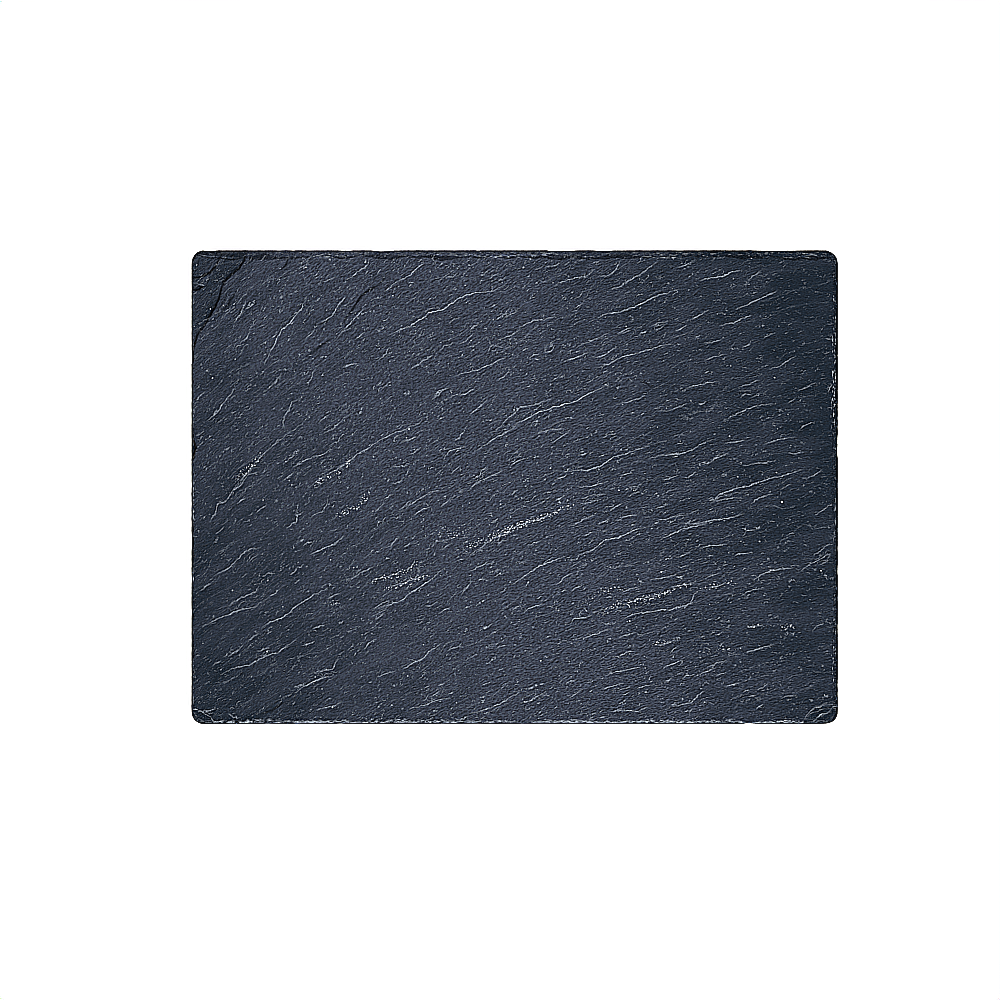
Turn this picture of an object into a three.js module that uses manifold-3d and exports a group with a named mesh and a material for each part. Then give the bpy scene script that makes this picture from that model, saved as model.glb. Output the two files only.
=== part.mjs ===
// A slate serving slab: one piece of riven slate, trimmed to a rectangle with rounded corners.
// Its rim is broken back bed by bed, and its faces carry the low ledges that splitting leaves.
// Units are millimetres. X runs along the slab, Y across it towards the back, and Z up.
// The origin is on the table, under the middle of the slab.
import * as THREE from "three";
import { mergeVertices } from "three/addons/utils/BufferGeometryUtils.js";
import Module from "manifold-3d";

const wasm = await Module();
wasm.setup();

// Driving dimensions
const LENGTH = 300;
const WIDTH = 220;
const THICKNESS = 5;
const CORNER_RADIUS = 6;

// How far the dressing has broken the top edge back on each side
const DRESSED = { back: 2.5, right: 1.4, front: 0.4, left: 0.3 };

// The beds the slate splits into, from the table up: the height of each bed's top as a share of
// the thickness, and the share of the dressing that has broken away by that bed.
const BEDS = [
  { top: 0.28, broken: 0.0 },
  { top: 0.47, broken: 0.22 },
  { top: 0.64, broken: 0.45 },
  { top: 0.82, broken: 0.7 },
  { top: 1.0, broken: 1.0 },
];
const BED_BATTER = 0.08;
const LEAST_TREAD = 0.04;
const NICK_DEPTH = 0.9;
const NICK_RARITY = 0.35;

// Spacing of the points round the rim, on the straight sides and round a corner
const RIM_STEP = 5;
const CORNER_STEPS = 5;

// The dressing comes and goes round the rim in long and short scallops
const SCALLOPS = [
  { length: 24, share: 0.5 },
  { length: 11, share: 0.5 },
];

// Ledges on the top face, each as [x, y] at its start, [x, y] at its end, and its depth.
// The face is lower on the right hand of the way from start to end.
const TOP_LEDGES = [
  [-116, 57, -107, 66, 0.35],
  [-107, 66, -97, 87, 0.5],
  [-131, 76, -124, 86, 0.5],
  [-89, 95, -83, 98, 0.4],
  [-78, 95, -67, 104, 0.3],
  [-90, 75, -78, 88, 0.5],
  [-98, 68, -92, 74, 0.35],
  [-59, 70, -40, 80, 0.4],
  [-40, 80, -26, 87, 0.55],
  [-26, 87, -2, 94, 0.4],
  [-59, 94, -80, 75, 0.55],
  [-84, 70, -96, 60, 0.4],
  [-54, 95, -42, 103, 0.35],
  [-63, 58, -58, 65, 0.35],
  [-49, 54, -38, 61, 0.35],
  [-39, 40, -30, 46, 0.3],
  [-29, 51, -3, 61, 0.35],
  [-21, 33, -12, 41, 0.35],
  [-34, 12, -24, 19, 0.5],
  [-142, 30, -129, 46, 0.35],
  [-106, 26, -99, 42, 0.3],
  [-102, 9, -93, 14, 0.45],
  [-131, -1, -103, 26, 0.3],
  [-97, -1, -42, 34, 0.35],
  [-20, 15, 3, 29, 0.3],
  [-2, 28, 22, 37, 0.45],
  [22, 37, 44, 49, 0.55],
  [38, 78, 57, 84, 0.5],
  [57, 84, 76, 91, 0.5],
  [18, 93, 38, 102, 0.35],
  [2, 74, 19, 79, 0.45],
  [38, 55, 55, 62, 0.35],
  [55, 62, 74, 66, 0.35],
  [102, 82, 122, 91, 0.4],
  [94, 74, 110, 80, 0.3],
  [25, 7, 45, 14, 0.5],
  [45, 14, 62, 19, 0.35],
  [61, 12, 93, 22, 0.35],
  [17, 21, 26, 27, 0.35],
  [77, 44, 95, 48, 0.3],
  [96, 31, 120, 38, 0.3],
  [100, -1, 133, 8, 0.5],
  [115, 20, 130, 23, 0.3],
  [-106, -20, -97, -11, 0.5],
  [-95, -31, -79, -23, 0.5],
  [-47, -13, -38, -9, 0.5],
  [-139, -41, -118, -28, 0.4],
  [-132, -55, -118, -46, 0.35],
  [-145, -64, -117, -53, 0.4],
  [-118, -65, -102, -56, 0.5],
  [-102, -56, -87, -47, 0.45],
  [-77, -44, -65, -37, 0.35],
  [-64, -56, -32, -37, 0.55],
  [-65, -43, -38, -41, 0.3],
  [-23, -34, 25, -8, 0.45],
  [-70, -75, -64, -70, 0.4],
  [-52, -84, -34, -72, 0.5],
  [-102, -96, -85, -87, 0.45],
  [-137, -87, -101, -70, 0.35],
  [-21, -105, 2, -95, 0.45],
  [-49, -103, -30, -98, 0.3],
  [-2, -45, 24, -32, 0.5],
  [28, -32, 63, -18, 0.4],
  [25, -18, 38, -12, 0.4],
  [67, -25, 89, -17, 0.5],
  [80, -17, 106, -12, 0.45],
  [90, -8, 114, 3, 0.45],
  [49, -54, 72, -48, 0.4],
  [49, -61, 81, -54, 0.5],
  [81, -54, 96, -44, 0.35],
  [110, -43, 129, -37, 0.5],
  [131, -39, 146, -30, 0.4],
  [47, -79, 55, -76, 0.4],
  [64, -73, 75, -71, 0.4],
  [68, -84, 77, -80, 0.5],
  [41, -94, 50, -90, 0.4],
  [107, -76, 119, -73, 0.5],
  [62, -43, 75, -40, 0.35],
  [73, -101, 88, -94, 0.4],
  [-8, -70, 20, -60, 0.3],
];

// Fine ledges between those, scattered along the grain of the stone
const FINE_LEDGES = { count: 36, shortest: 7, longest: 17, depth: 0.22 };

// Ledges under the slab, given in the same way as seen through the stone from above
const UNDER_LEDGES = { count: 14, shortest: 18, longest: 46, depth: 0.35 };

// Flakes split off at the corners and along the left edge: the ledge that bounds each one, and
// its depth below the top face. The first and last points lie outside the slab.
const FLAKES = [
  {
    depth: 0.75,
    ledge: [
      [-124, 116], [-125, 105], [-131, 98.7], [-135.5, 93], [-137.5, 86],
      [-143.6, 75], [-147, 69.5], [-149, 62], [-156, 60], [-156, 116],
    ],
  },
  {
    depth: 1.15,
    ledge: [[-135.5, 116], [-137.3, 104.5], [-141.5, 99.5], [-146.5, 97], [-156, 98], [-156, 116]],
  },
  { depth: 1.7, ledge: [[-156, 95], [-147.6, 94.6], [-144, 93.3], [-147, 91.4], [-156, 91]] },
  { depth: 1.5, ledge: [[-156, 23], [-148.9, 22], [-147.6, 18], [-149.2, 13], [-156, 12]] },
  {
    depth: 0.9,
    ledge: [[130, -116], [134, -107.3], [138, -102.6], [145, -100.6], [156, -101], [156, -116]],
  },
  {
    depth: 1.6,
    ledge: [[135, -116], [139, -107.6], [144.6, -105], [148, -101.5], [156, -104], [156, -116]],
  },
  { depth: 1.1, ledge: [[-156, -102], [-147, -103], [-141, -106.4], [-135, -116], [-156, -116]] },
];

// The grain of the stone fans out from the left: its angle from X at the middle, in degrees, how
// much that falls for each millimetre to the right, and how that fall grows towards the back
const GRAIN = { angle: 29, fall: 0.084, growth: 0.0003 };
function grainAngle(x, y) {
  return THREE.MathUtils.degToRad(GRAIN.angle - x * (GRAIN.fall + GRAIN.growth * y));
}

// A repeatable number from 0 to 1 for each whole number, so that every build is the same stone
function chance(n) {
  const wide = Math.sin(n * 12.9898 + 4.137) * 43758.5453;
  return wide - Math.floor(wide);
}

// Smooth noise from -1 to 1 along a loop of that length, which meets itself at the ends
function loopNoise(s, loop, wavelength, seed) {
  const waves = Math.round(loop / wavelength);
  const at = (s / loop) * waves;
  const cell = Math.floor(at);
  const share = at - cell;
  const blend = share * share * (3 - 2 * share);
  const value = (i) => chance(seed * 1000 + (i % waves));
  return 2 * THREE.MathUtils.lerp(value(cell), value(cell + 1), blend) - 1;
}

// Points round the rim, anticlockwise from above, each with the way out of the slab there
function rimPoints() {
  const points = [];
  const halfX = LENGTH / 2 - CORNER_RADIUS;
  const halfY = WIDTH / 2 - CORNER_RADIUS;
  const corners = [
    [halfX, halfY],
    [-halfX, halfY],
    [-halfX, -halfY],
    [halfX, -halfY],
  ];
  corners.forEach(([cx, cy], i) => {
    const start = (i * Math.PI) / 2;
    for (let k = 0; k <= CORNER_STEPS; k++) {
      const angle = start + (k / CORNER_STEPS) * (Math.PI / 2);
      const out = new THREE.Vector2(Math.cos(angle), Math.sin(angle));
      points.push({ at: out.clone().multiplyScalar(CORNER_RADIUS).add({ x: cx, y: cy }), out });
    }
    const from = points[points.length - 1].at;
    const out = points[points.length - 1].out;
    const side = i % 2 === 0 ? 2 * halfX : 2 * halfY;
    const along = new THREE.Vector2(-out.y, out.x);
    const steps = Math.round(side / RIM_STEP);
    for (let k = 1; k < steps; k++)
      points.push({ at: from.clone().addScaledVector(along, (side * k) / steps), out });
  });
  let run = 0;
  points.forEach((p, i) => {
    if (i) run += p.at.distanceTo(points[i - 1].at);
    p.run = run;
  });
  points.loop = run + points[0].at.distanceTo(points[points.length - 1].at);
  return points;
}

// How wide the dressing is on the side that a rim point faces
function dressedWidth(out) {
  const sideways = out.x > 0 ? DRESSED.right : DRESSED.left;
  const endways = out.y > 0 ? DRESSED.back : DRESSED.front;
  return out.x * out.x * sideways + out.y * out.y * endways;
}

// How far each bed is set in from the slab's outline at a rim point, from the table up. The lowest
// one keeps to the outline but for a few nicks.
function bedInsets(point, loop) {
  const nick = loopNoise(point.run, loop, 9, 50) * loopNoise(point.run, loop, 31, 51);
  let inset = Math.max(0, nick - NICK_RARITY) * NICK_DEPTH;
  return BEDS.map((bed, i) => {
    if (i === 0) return inset;
    let scallop = 1;
    SCALLOPS.forEach(({ length, share }, k) => {
      scallop += share * loopNoise(point.run, loop, length, i + 20 * k);
    });
    const broken = bed.broken - BEDS[i - 1].broken;
    inset += BED_BATTER + LEAST_TREAD + dressedWidth(point.out) * broken * scallop;
    return inset;
  });
}

// The slab before its faces are worked: a wall and a tread for each bed, closed by flat faces
function bedStack() {
  const rim = rimPoints();
  const insets = rim.map((p) => bedInsets(p, rim.loop));
  const ring = (bed, z, extra) =>
    rim.map((p, i) => {
      const at = p.at.clone().addScaledVector(p.out, -(insets[i][bed] + extra));
      return new THREE.Vector3(at.x, at.y, z);
    });
  const rings = [];
  BEDS.forEach((bed, i) => {
    const foot = i === 0 ? 0 : BEDS[i - 1].top * THICKNESS;
    rings.push(ring(i, foot, 0), ring(i, bed.top * THICKNESS, BED_BATTER));
  });
  return closedLoft(rings);
}

// A solid skinned over rings of equal counts, from the bottom ring to the top one. Each end ring
// is flat, and the rings run anticlockwise seen from the far end.
function closedLoft(rings) {
  const count = rings[0].length;
  const corners = rings.flat();
  const faces = [];
  for (let r = 0; r + 1 < rings.length; r++)
    for (let i = 0; i < count; i++) {
      const a = r * count + i;
      const b = r * count + ((i + 1) % count);
      faces.push([a, b, b + count], [a, b + count, a + count]);
    }
  const last = (rings.length - 1) * count;
  const flat = (points) => points.map((p) => new THREE.Vector2(p.x, p.y));
  for (const [a, b, c] of THREE.ShapeUtils.triangulateShape(flat(rings[0]), [])) faces.push([a, c, b]);
  for (const [a, b, c] of THREE.ShapeUtils.triangulateShape(flat(rings.at(-1)), []))
    faces.push([last + a, last + b, last + c]);
  return { corners, faces };
}

// A shape's corners and faces as a solid that can be cut
function solid({ corners, faces }) {
  const geometry = new THREE.BufferGeometry().setFromPoints(corners).setIndex(faces.flat());
  const merged = mergeVertices(geometry, 1e-4);
  return new wasm.Manifold(
    new wasm.Mesh({
      numProp: 3,
      vertProperties: merged.attributes.position.array,
      triVerts: new Uint32Array(merged.index.array),
    }),
  );
}

// The air over a sliver of stone that split away below a ledge: it is deepest at the ledge's wall,
// rises to the face at its toe, and swells between its thin ends. Lengths along and across it grow
// with the ledge's own length.
const SLIVER = { step: 9, leastSteps: 3, thinEnd: 0.12, width: 2.2, widening: 0.11, wander: 0.07 };
const TOE_RISE = 0.04;
const AIR = 1;
function sliver([x0, y0, x1, y1, depth], seed) {
  const from = new THREE.Vector2(x0, y0);
  const along = new THREE.Vector2(x1, y1).sub(from);
  const length = along.length();
  const toLow = new THREE.Vector2(along.y, -along.x).divideScalar(length);
  const width = SLIVER.width + SLIVER.widening * length;
  const steps = Math.max(SLIVER.leastSteps, Math.round(length / SLIVER.step));
  const sections = Array.from({ length: steps + 1 }, (_, i) => {
    const swell = Math.max(SLIVER.thinEnd, Math.sin((Math.PI * i) / steps) ** 0.6);
    const wander = (chance(seed * 7 + i) - 0.5) * SLIVER.wander * length;
    const crest = from.clone().addScaledVector(along, i / steps).addScaledVector(toLow, wander);
    const toe = crest.clone().addScaledVector(toLow, width * swell);
    return [
      new THREE.Vector3(crest.x, crest.y, THICKNESS - depth * swell),
      new THREE.Vector3(toe.x, toe.y, THICKNESS + TOE_RISE),
      new THREE.Vector3(toe.x, toe.y, THICKNESS + AIR),
      new THREE.Vector3(crest.x, crest.y, THICKNESS + AIR),
    ];
  });
  const corners = sections.flat();
  const faces = [];
  for (let s = 0; s + 1 < sections.length; s++)
    for (let k = 0; k < 4; k++) {
      const a = s * 4 + k;
      const b = s * 4 + ((k + 1) % 4);
      faces.push([a, b + 4, b], [a, a + 4, b + 4]);
    }
  const end = corners.length - 4;
  faces.push([0, 1, 2], [0, 2, 3], [end, end + 2, end + 1], [end, end + 3, end + 2]);
  return { corners, faces };
}

// The same sliver under the slab
function turnedUnder({ corners, faces }) {
  return {
    corners: corners.map((c) => new THREE.Vector3(c.x, c.y, THICKNESS - c.z)),
    faces: faces.map(([a, b, c]) => [a, c, b]),
  };
}

// Ledges scattered over a face, clear of its rim, each along the grain where its middle is
const RIM_CLEARANCE = 14;
function scattered({ count, shortest, longest, depth }, seed) {
  return Array.from({ length: count }, (_, i) => {
    const pick = (k) => chance(seed + i * 5 + k);
    const x = (pick(0) - 0.5) * (LENGTH - 2 * RIM_CLEARANCE);
    const y = (pick(1) - 0.5) * (WIDTH - 2 * RIM_CLEARANCE);
    const run = THREE.MathUtils.lerp(shortest, longest, pick(2));
    const angle = grainAngle(x, y);
    const half = new THREE.Vector2(Math.cos(angle), Math.sin(angle)).multiplyScalar(run / 2);
    return [x - half.x, y - half.y, x + half.x, y + half.y, depth * (0.7 + 0.5 * pick(3))];
  });
}

// The air over a flake that lifted off down to its bed
function flakeBlock({ depth, ledge }) {
  const outline = THREE.ShapeUtils.isClockWise(ledge.map(([x, y]) => new THREE.Vector2(x, y)))
    ? [...ledge].reverse()
    : ledge;
  const ring = (z) => outline.map(([x, y]) => new THREE.Vector3(x, y, z));
  return closedLoft([ring(THICKNESS - depth), ring(THICKNESS + AIR)]);
}

// The slab: the stack of beds, less its flakes and the slivers below its ledges
function slabGeometry() {
  let slab = solid(bedStack());
  const airs = [
    ...FLAKES.map(flakeBlock),
    ...[...TOP_LEDGES, ...scattered(FINE_LEDGES, 300)].map(sliver),
    ...scattered(UNDER_LEDGES, 900).map(sliver).map(turnedUnder),
  ];
  for (const air of airs) slab = slab.subtract(solid(air));
  const { vertProperties, triVerts, numProp } = slab.getMesh();
  return new THREE.BufferGeometry()
    .setAttribute("position", new THREE.BufferAttribute(vertProperties, numProp))
    .setIndex(new THREE.BufferAttribute(triVerts, 1))
    .toNonIndexed();
}

const slate = new THREE.MeshStandardMaterial({ color: 0x3d4554, roughness: 0.62, metalness: 0 });

const geometry = slabGeometry();
geometry.computeVertexNormals();
const slab = new THREE.Mesh(geometry, slate);
slab.name = "slab";

const group = new THREE.Group();
group.add(slab);

export default group;
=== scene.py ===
"""A serving slab of riven slate, seen from straight above on a lit, pale table.

The slab starts as a flat sheet with rounded corners, raised to its thickness. Its rim is then
broken back bed by bed, ledges are cut across its face along the grain of the stone, and flakes
are lifted off its corners. Lengths are in millimetres until the slab is done.
"""

import math

import bpy
import numpy as np
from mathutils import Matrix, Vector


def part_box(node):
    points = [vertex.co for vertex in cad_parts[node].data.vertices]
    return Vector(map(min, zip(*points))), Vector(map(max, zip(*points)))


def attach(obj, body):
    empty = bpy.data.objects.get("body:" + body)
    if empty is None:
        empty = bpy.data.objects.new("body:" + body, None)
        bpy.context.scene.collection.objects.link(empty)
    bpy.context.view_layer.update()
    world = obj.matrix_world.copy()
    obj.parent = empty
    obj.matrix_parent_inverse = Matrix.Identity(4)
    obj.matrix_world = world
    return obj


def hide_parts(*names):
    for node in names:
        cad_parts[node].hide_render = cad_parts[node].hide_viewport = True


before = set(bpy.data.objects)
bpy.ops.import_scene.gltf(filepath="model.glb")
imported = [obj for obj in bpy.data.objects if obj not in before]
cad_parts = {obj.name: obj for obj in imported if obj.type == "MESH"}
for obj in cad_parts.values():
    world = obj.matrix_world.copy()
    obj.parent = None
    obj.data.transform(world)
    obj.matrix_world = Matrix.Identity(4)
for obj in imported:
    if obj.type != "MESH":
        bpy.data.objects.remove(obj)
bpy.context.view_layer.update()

MM = 0.001
low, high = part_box("slab")
LENGTH, WIDTH, THICKNESS = ((b - a) / MM for a, b in zip(low, high))
CORNER_RADIUS = 6.0

# The rim: how far the dressing has broken the top edge back on each side, and the beds of the
# stone from the table up, as the height of a bed's top and the share of the dressing lost by it
DRESSED = {"back": 2.5, "right": 1.4, "front": 0.4, "left": 0.3}
BED_TOPS = [0.28, 0.47, 0.64, 0.82, 1.0]
BED_LOSSES = [0.0, 0.22, 0.45, 0.7, 1.0]
# How far each bed leans in, the narrowest tread on one, and the nicks in the lowest
BATTER = 0.08
LEAST_TREAD = 0.04
NICK_DEPTH = 0.9
NICK_RARITY = 0.35
# The dressing comes and goes in long and short scallops: the length and the share of each
SCALLOPS = [(24, 0.5), (11, 0.5)]

# The grain of the stone: its slope at the middle, and how it fans across the slab
GRAIN_SLOPE = math.radians(29.6)
GRAIN_FAN = 0.00102
GRAIN_TWIST = -0.00048

# Ledges read off the face: the drop of each, and the points it runs through. The face is lower
# on the right hand of the way from the first point to the last.
LEDGES = [
    (0.55, [
        (-116.2, 56.9), (-111.7, 65.9), (-107.7, 72.9), (-104.2, 76.3), (-98.8, 82.7),
        (-96.3, 87.7),
    ]),
    (0.5, [(-130.6, 76.0), (-126.6, 80.8), (-124.6, 86.2)]),
    (0.35, [(-88.9, 95.1), (-82.9, 97.4)]),
    (0.35, [(-78.4, 95.7), (-73.5, 99.2), (-68.0, 103.1), (-67.5, 105.6)]),
    (0.5, [(-89.3, 76.3), (-84.4, 79.8), (-81.4, 84.8), (-78.4, 88.2)]),
    (0.35, [(-97.8, 67.9), (-94.8, 70.4), (-92.4, 73.3)]),
    (0.55, [
        (-58.6, 70.4), (-48.7, 74.3), (-39.8, 80.8), (-32.3, 82.7), (-26.9, 87.2), (-18.9, 90.2),
        (-11.0, 90.7), (-4.1, 94.2),
    ]),
    (0.5, [(-59.1, 97.1), (-64.1, 93.2), (-71.0, 88.7), (-75.5, 81.8), (-80.0, 75.3)]),
    (0.4, [(-84.4, 69.8), (-90.4, 64.9), (-95.3, 60.9)]),
    (0.45, [(-54.2, 95.7), (-48.7, 98.1), (-45.2, 101.6), (-41.8, 103.6)]),
    (0.3, [(-73.5, 68.9), (-69.5, 71.8)]),
    (0.3, [(-63.1, 58.5), (-59.6, 62.0), (-57.7, 64.9)]),
    (0.35, [(-48.7, 54.0), (-42.7, 58.5), (-37.8, 61.4)]),
    (0.3, [(-38.8, 40.1), (-34.8, 43.6), (-30.4, 46.1)]),
    (0.35, [(-28.4, 51.0), (-22.9, 53.0), (-17.0, 54.5), (-11.0, 57.0), (-3.1, 60.9)]),
    (0.35, [(-21.4, 33.2), (-17.0, 36.7), (-12.5, 40.6)]),
    (0.5, [(-33.8, 12.3), (-29.8, 16.8), (-23.9, 18.8)]),
    (0.3, [(-29.8, 5.9), (-24.9, 9.9)]),
    (0.35, [(-142.4, 30.2), (-137.0, 36.2), (-131.0, 44.1), (-129.0, 46.5)]),
    (0.3, [(-114.6, 45.1), (-110.2, 49.1), (-108.2, 53.0)]),
    (0.25, [(-106.7, 26.7), (-107.7, 30.7), (-104.2, 36.2), (-103.3, 39.6), (-98.8, 41.6)]),
    (0.25, [(-130.6, -1.5), (-126.0, 4.4), (-120.1, 11.4), (-112.2, 19.3), (-103.3, 26.2)]),
    (0.45, [(-101.8, 9.4), (-98.3, 12.4), (-93.3, 14.3)]),
    (0.3, [
        (-97.3, -1.5), (-89.3, 4.4), (-81.4, 8.9), (-75.5, 13.3), (-68.5, 17.8), (-61.6, 22.3),
        (-53.6, 26.2), (-44.7, 29.2), (-41.8, 33.7),
    ]),
    (0.3, [(-20.0, 15.3), (-10.0, 22.3), (2.6, 29.2)]),
    (0.55, [
        (-2.0, 28.2), (3.9, 30.7), (10.9, 34.7), (18.8, 37.1), (28.7, 40.1), (34.7, 43.6),
        (39.6, 45.6), (43.6, 49.1),
    ]),
    (0.5, [
        (37.7, 78.3), (42.7, 80.3), (50.5, 81.8), (57.5, 84.2), (63.4, 87.7), (69.4, 89.7),
        (76.3, 91.7),
    ]),
    (0.35, [(17.8, 93.2), (24.8, 96.2), (33.7, 98.1), (37.7, 101.6)]),
    (0.4, [(1.9, 73.8), (7.9, 76.8), (13.9, 77.8), (19.3, 79.3)]),
    (0.35, [
        (37.7, 55.0), (44.6, 57.5), (49.6, 60.4), (57.5, 62.4), (63.4, 63.9), (68.4, 65.9),
        (74.3, 66.4),
    ]),
    (0.45, [(102.1, 81.8), (109.1, 85.3), (117.0, 88.7), (122.0, 91.2)]),
    (0.4, [(94.7, 74.8), (100.2, 75.8), (103.1, 77.3), (110.1, 79.8)]),
    (0.5, [(24.8, 7.4), (33.7, 7.9), (40.7, 10.3), (45.6, 13.8), (53.6, 16.3), (62.5, 19.3)]),
    (0.35, [(61.5, 12.9), (67.4, 14.9), (76.3, 15.3), (82.3, 17.3), (85.3, 19.3), (93.2, 22.8)]),
    (0.35, [(16.8, 20.8), (21.8, 23.3), (25.8, 26.7)]),
    (0.3, [(9.4, 24.7), (15.9, 26.7), (22.8, 27.4)]),
    (0.3, [(77.3, 44.1), (82.3, 47.1), (88.2, 48.0), (95.2, 49.5)]),
    (0.5, [(100.1, -1.1), (108.1, 0.5), (117.0, 3.9), (122.9, 4.9), (133.8, 8.4)]),
    (0.3, [(66.4, 35.2), (71.4, 35.6), (77.3, 38.1)]),
    (0.3, [(96.2, 30.7), (104.1, 34.7), (112.0, 37.6), (120.0, 38.6)]),
    (0.3, [(115.0, 19.8), (121.0, 21.8), (129.9, 23.3)]),
    (0.5, [(-105.7, -19.2), (-101.3, -15.7), (-100.3, -12.8), (-97.3, -11.3)]),
    (0.5, [(-94.8, -31.1), (-89.3, -28.6), (-83.4, -26.1), (-78.9, -22.7)]),
    (0.5, [(-46.7, -13.3), (-42.7, -10.3), (-38.8, -9.3)]),
    (0.4, [(-139.5, -41.0), (-133.0, -38.1), (-126.6, -31.6), (-123.1, -28.6), (-118.1, -27.6)]),
    (0.35, [(-132.0, -54.9), (-127.0, -51.4), (-120.1, -48.4), (-118.1, -45.5)]),
    (0.4, [(-144.9, -64.2), (-135.0, -59.9), (-128.0, -56.9), (-120.1, -55.4), (-116.6, -52.4)]),
    (0.55, [
        (-117.6, -65.3), (-113.1, -62.3), (-107.2, -60.4), (-102.2, -55.8), (-97.3, -52.4),
        (-92.4, -49.4), (-86.9, -47.0),
    ]),
    (0.35, [(-76.5, -44.0), (-70.5, -39.0), (-64.6, -36.6)]),
    (0.55, [(-63.6, -56.4), (-53.6, -52.9), (-45.7, -47.5), (-38.8, -42.5), (-32.3, -37.0)]),
    (0.3, [(-65.6, -43.0), (-59.6, -41.5), (-53.6, -40.0)]),
    (0.3, [(-58.6, -46.5), (-47.7, -43.0), (-39.8, -40.5)]),
    (0.45, [
        (-22.9, -33.6), (-17.0, -28.6), (-11.0, -24.6), (-4.1, -20.7), (2.6, -17.2), (11.9, -14.8),
        (17.8, -11.7), (21.8, -9.8), (25.3, -8.3),
    ]),
    (0.4, [(-70.0, -75.2), (-67.5, -72.3), (-64.1, -70.2)]),
    (0.5, [(-51.7, -84.1), (-46.7, -81.2), (-42.7, -79.7), (-38.8, -75.2), (-33.8, -72.3)]),
    (0.5, [(-102.2, -95.6), (-97.3, -92.0), (-91.3, -89.1), (-84.4, -87.1)]),
    (0.35, [(-93.4, -86.0), (-84.4, -84.1), (-81.9, -78.6)]),
    (0.35, [
        (-136.6, -87.1), (-131.0, -84.1), (-123.1, -82.2), (-115.1, -78.2), (-109.2, -76.3),
        (-104.2, -72.8), (-100.8, -69.8),
    ]),
    (0.3, [(-139.9, -82.7), (-136.0, -80.2)]),
    (0.45, [(-20.9, -105.0), (-14.1, -103.0), (-7.1, -100.5), (2.6, -94.6)]),
    (0.35, [(-48.7, -102.5), (-41.8, -101.0), (-34.8, -98.5), (-29.8, -97.6)]),
    (0.5, [(-2.0, -45.5), (3.9, -41.5), (10.9, -37.0), (17.8, -34.0), (23.8, -31.6)]),
    (0.45, [
        (28.3, -32.1), (35.7, -29.1), (41.6, -24.6), (49.5, -22.7), (56.5, -19.2), (63.4, -17.9),
    ]),
    (0.4, [(25.3, -18.2), (30.7, -15.7), (37.7, -12.2)]),
    (0.5, [(67.4, -24.6), (72.4, -21.7), (77.3, -19.6), (84.3, -17.7), (89.2, -16.7)]),
    (0.45, [(80.3, -17.2), (89.2, -15.7), (97.2, -14.8), (106.1, -12.0)]),
    (0.5, [(90.7, -7.8), (95.2, -2.8), (103.1, -0.4), (109.1, 0.6), (114.0, 3.1)]),
    (0.3, [(90.7, -7.3), (98.2, -5.2), (106.1, -5.0)]),
    (0.4, [(49.5, -54.4), (57.5, -51.9), (65.4, -49.9), (72.4, -48.4)]),
    (0.5, [
        (49.5, -61.4), (56.5, -58.4), (65.4, -57.4), (73.4, -56.4), (81.3, -53.9), (83.3, -49.0),
        (87.3, -47.5),
    ]),
    (0.5, [(110.1, -43.5), (115.0, -40.1), (121.0, -38.1), (128.9, -37.4)]),
    (0.4, [(131.9, -39.0), (136.8, -35.6), (141.8, -33.1), (146.7, -30.6)]),
    (0.4, [(47.6, -78.7), (51.6, -76.7), (55.5, -75.7)]),
    (0.35, [(64.5, -73.2), (71.3, -72.3), (74.9, -70.8)]),
    (0.5, [(68.4, -84.1), (73.4, -81.7), (77.3, -80.2)]),
    (0.35, [(40.7, -93.6), (45.6, -92.0), (50.5, -90.6)]),
    (0.5, [(107.1, -76.3), (112.0, -75.2), (119.0, -73.2)]),
    (0.35, [(62.5, -43.0), (69.4, -42.0), (75.4, -40.5)]),
    (0.4, [(73.4, -101.5), (81.3, -100.0), (85.3, -96.1), (88.2, -94.1)]),
    (0.35, [(97.2, -92.6), (105.1, -90.6)]),
    (0.35, [(18.8, -45.5), (22.8, -42.0), (26.8, -39.5)]),
    (0.3, [(41.6, -87.1), (49.5, -85.1), (58.5, -83.2)]),
    (0.45, [
        (-141.7, -16.4), (-138.4, -12.2), (-138.0, -7.6), (-133.8, -6.6), (-130.6, -1.5),
        (-127.8, 0.3), (-124.1, 5.0), (-121.3, 6.4), (-117.6, 7.3),
    ]),
    (0.3, [(-127.3, 66.2), (-124.1, 69.5), (-122.7, 72.7)]),
    (0.45, [(-79.5, 72.7), (-76.3, 76.0), (-73.0, 79.7), (-70.2, 82.9)]),
    (0.3, [(-96.2, 47.2), (-94.4, 50.4), (-93.0, 54.2)]),
    (0.35, [(-60.5, 90.4), (-57.2, 93.1), (-54.4, 95.5)]),
    (0.3, [(-80.0, 55.6), (-76.3, 56.9), (-72.1, 57.4)]),
    (0.25, [(-60.9, 45.8), (-57.2, 49.1)]),
    (0.35, [(-147.3, 39.8), (-145.4, 42.6), (-143.5, 44.4)]),
    (0.35, [(-129.2, 90.4), (-131.0, 87.1), (-132.9, 84.3), (-135.2, 81.5)]),
    (0.4, [(-105.0, 106.1), (-106.4, 102.4), (-108.3, 100.6)]),
    (0.35, [(-21.5, 71.8), (-19.2, 74.6), (-16.4, 76.0)]),
    (0.3, [(-9.4, 76.9), (-5.2, 79.7), (-2.5, 82.9)]),
    (0.3, [(-4.3, 78.3), (-1.5, 80.2), (1.7, 81.5)]),
    (0.3, [(-12.2, 63.0), (-10.3, 66.2)]),
    (0.3, [(-8.5, 67.6), (-4.3, 69.5), (-0.1, 71.3), (3.1, 73.7)]),
    (0.4, [(13.8, 62.5), (17.0, 63.4), (18.9, 65.8)]),
    (0.3, [(6.4, 59.7), (8.7, 61.6), (11.5, 61.1)]),
    (0.4, [(22.6, 58.3), (27.2, 59.7), (31.4, 61.1), (34.2, 63.0)]),
    (0.35, [(36.1, 60.2), (41.6, 61.1), (45.3, 63.9), (47.2, 64.8)]),
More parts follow.
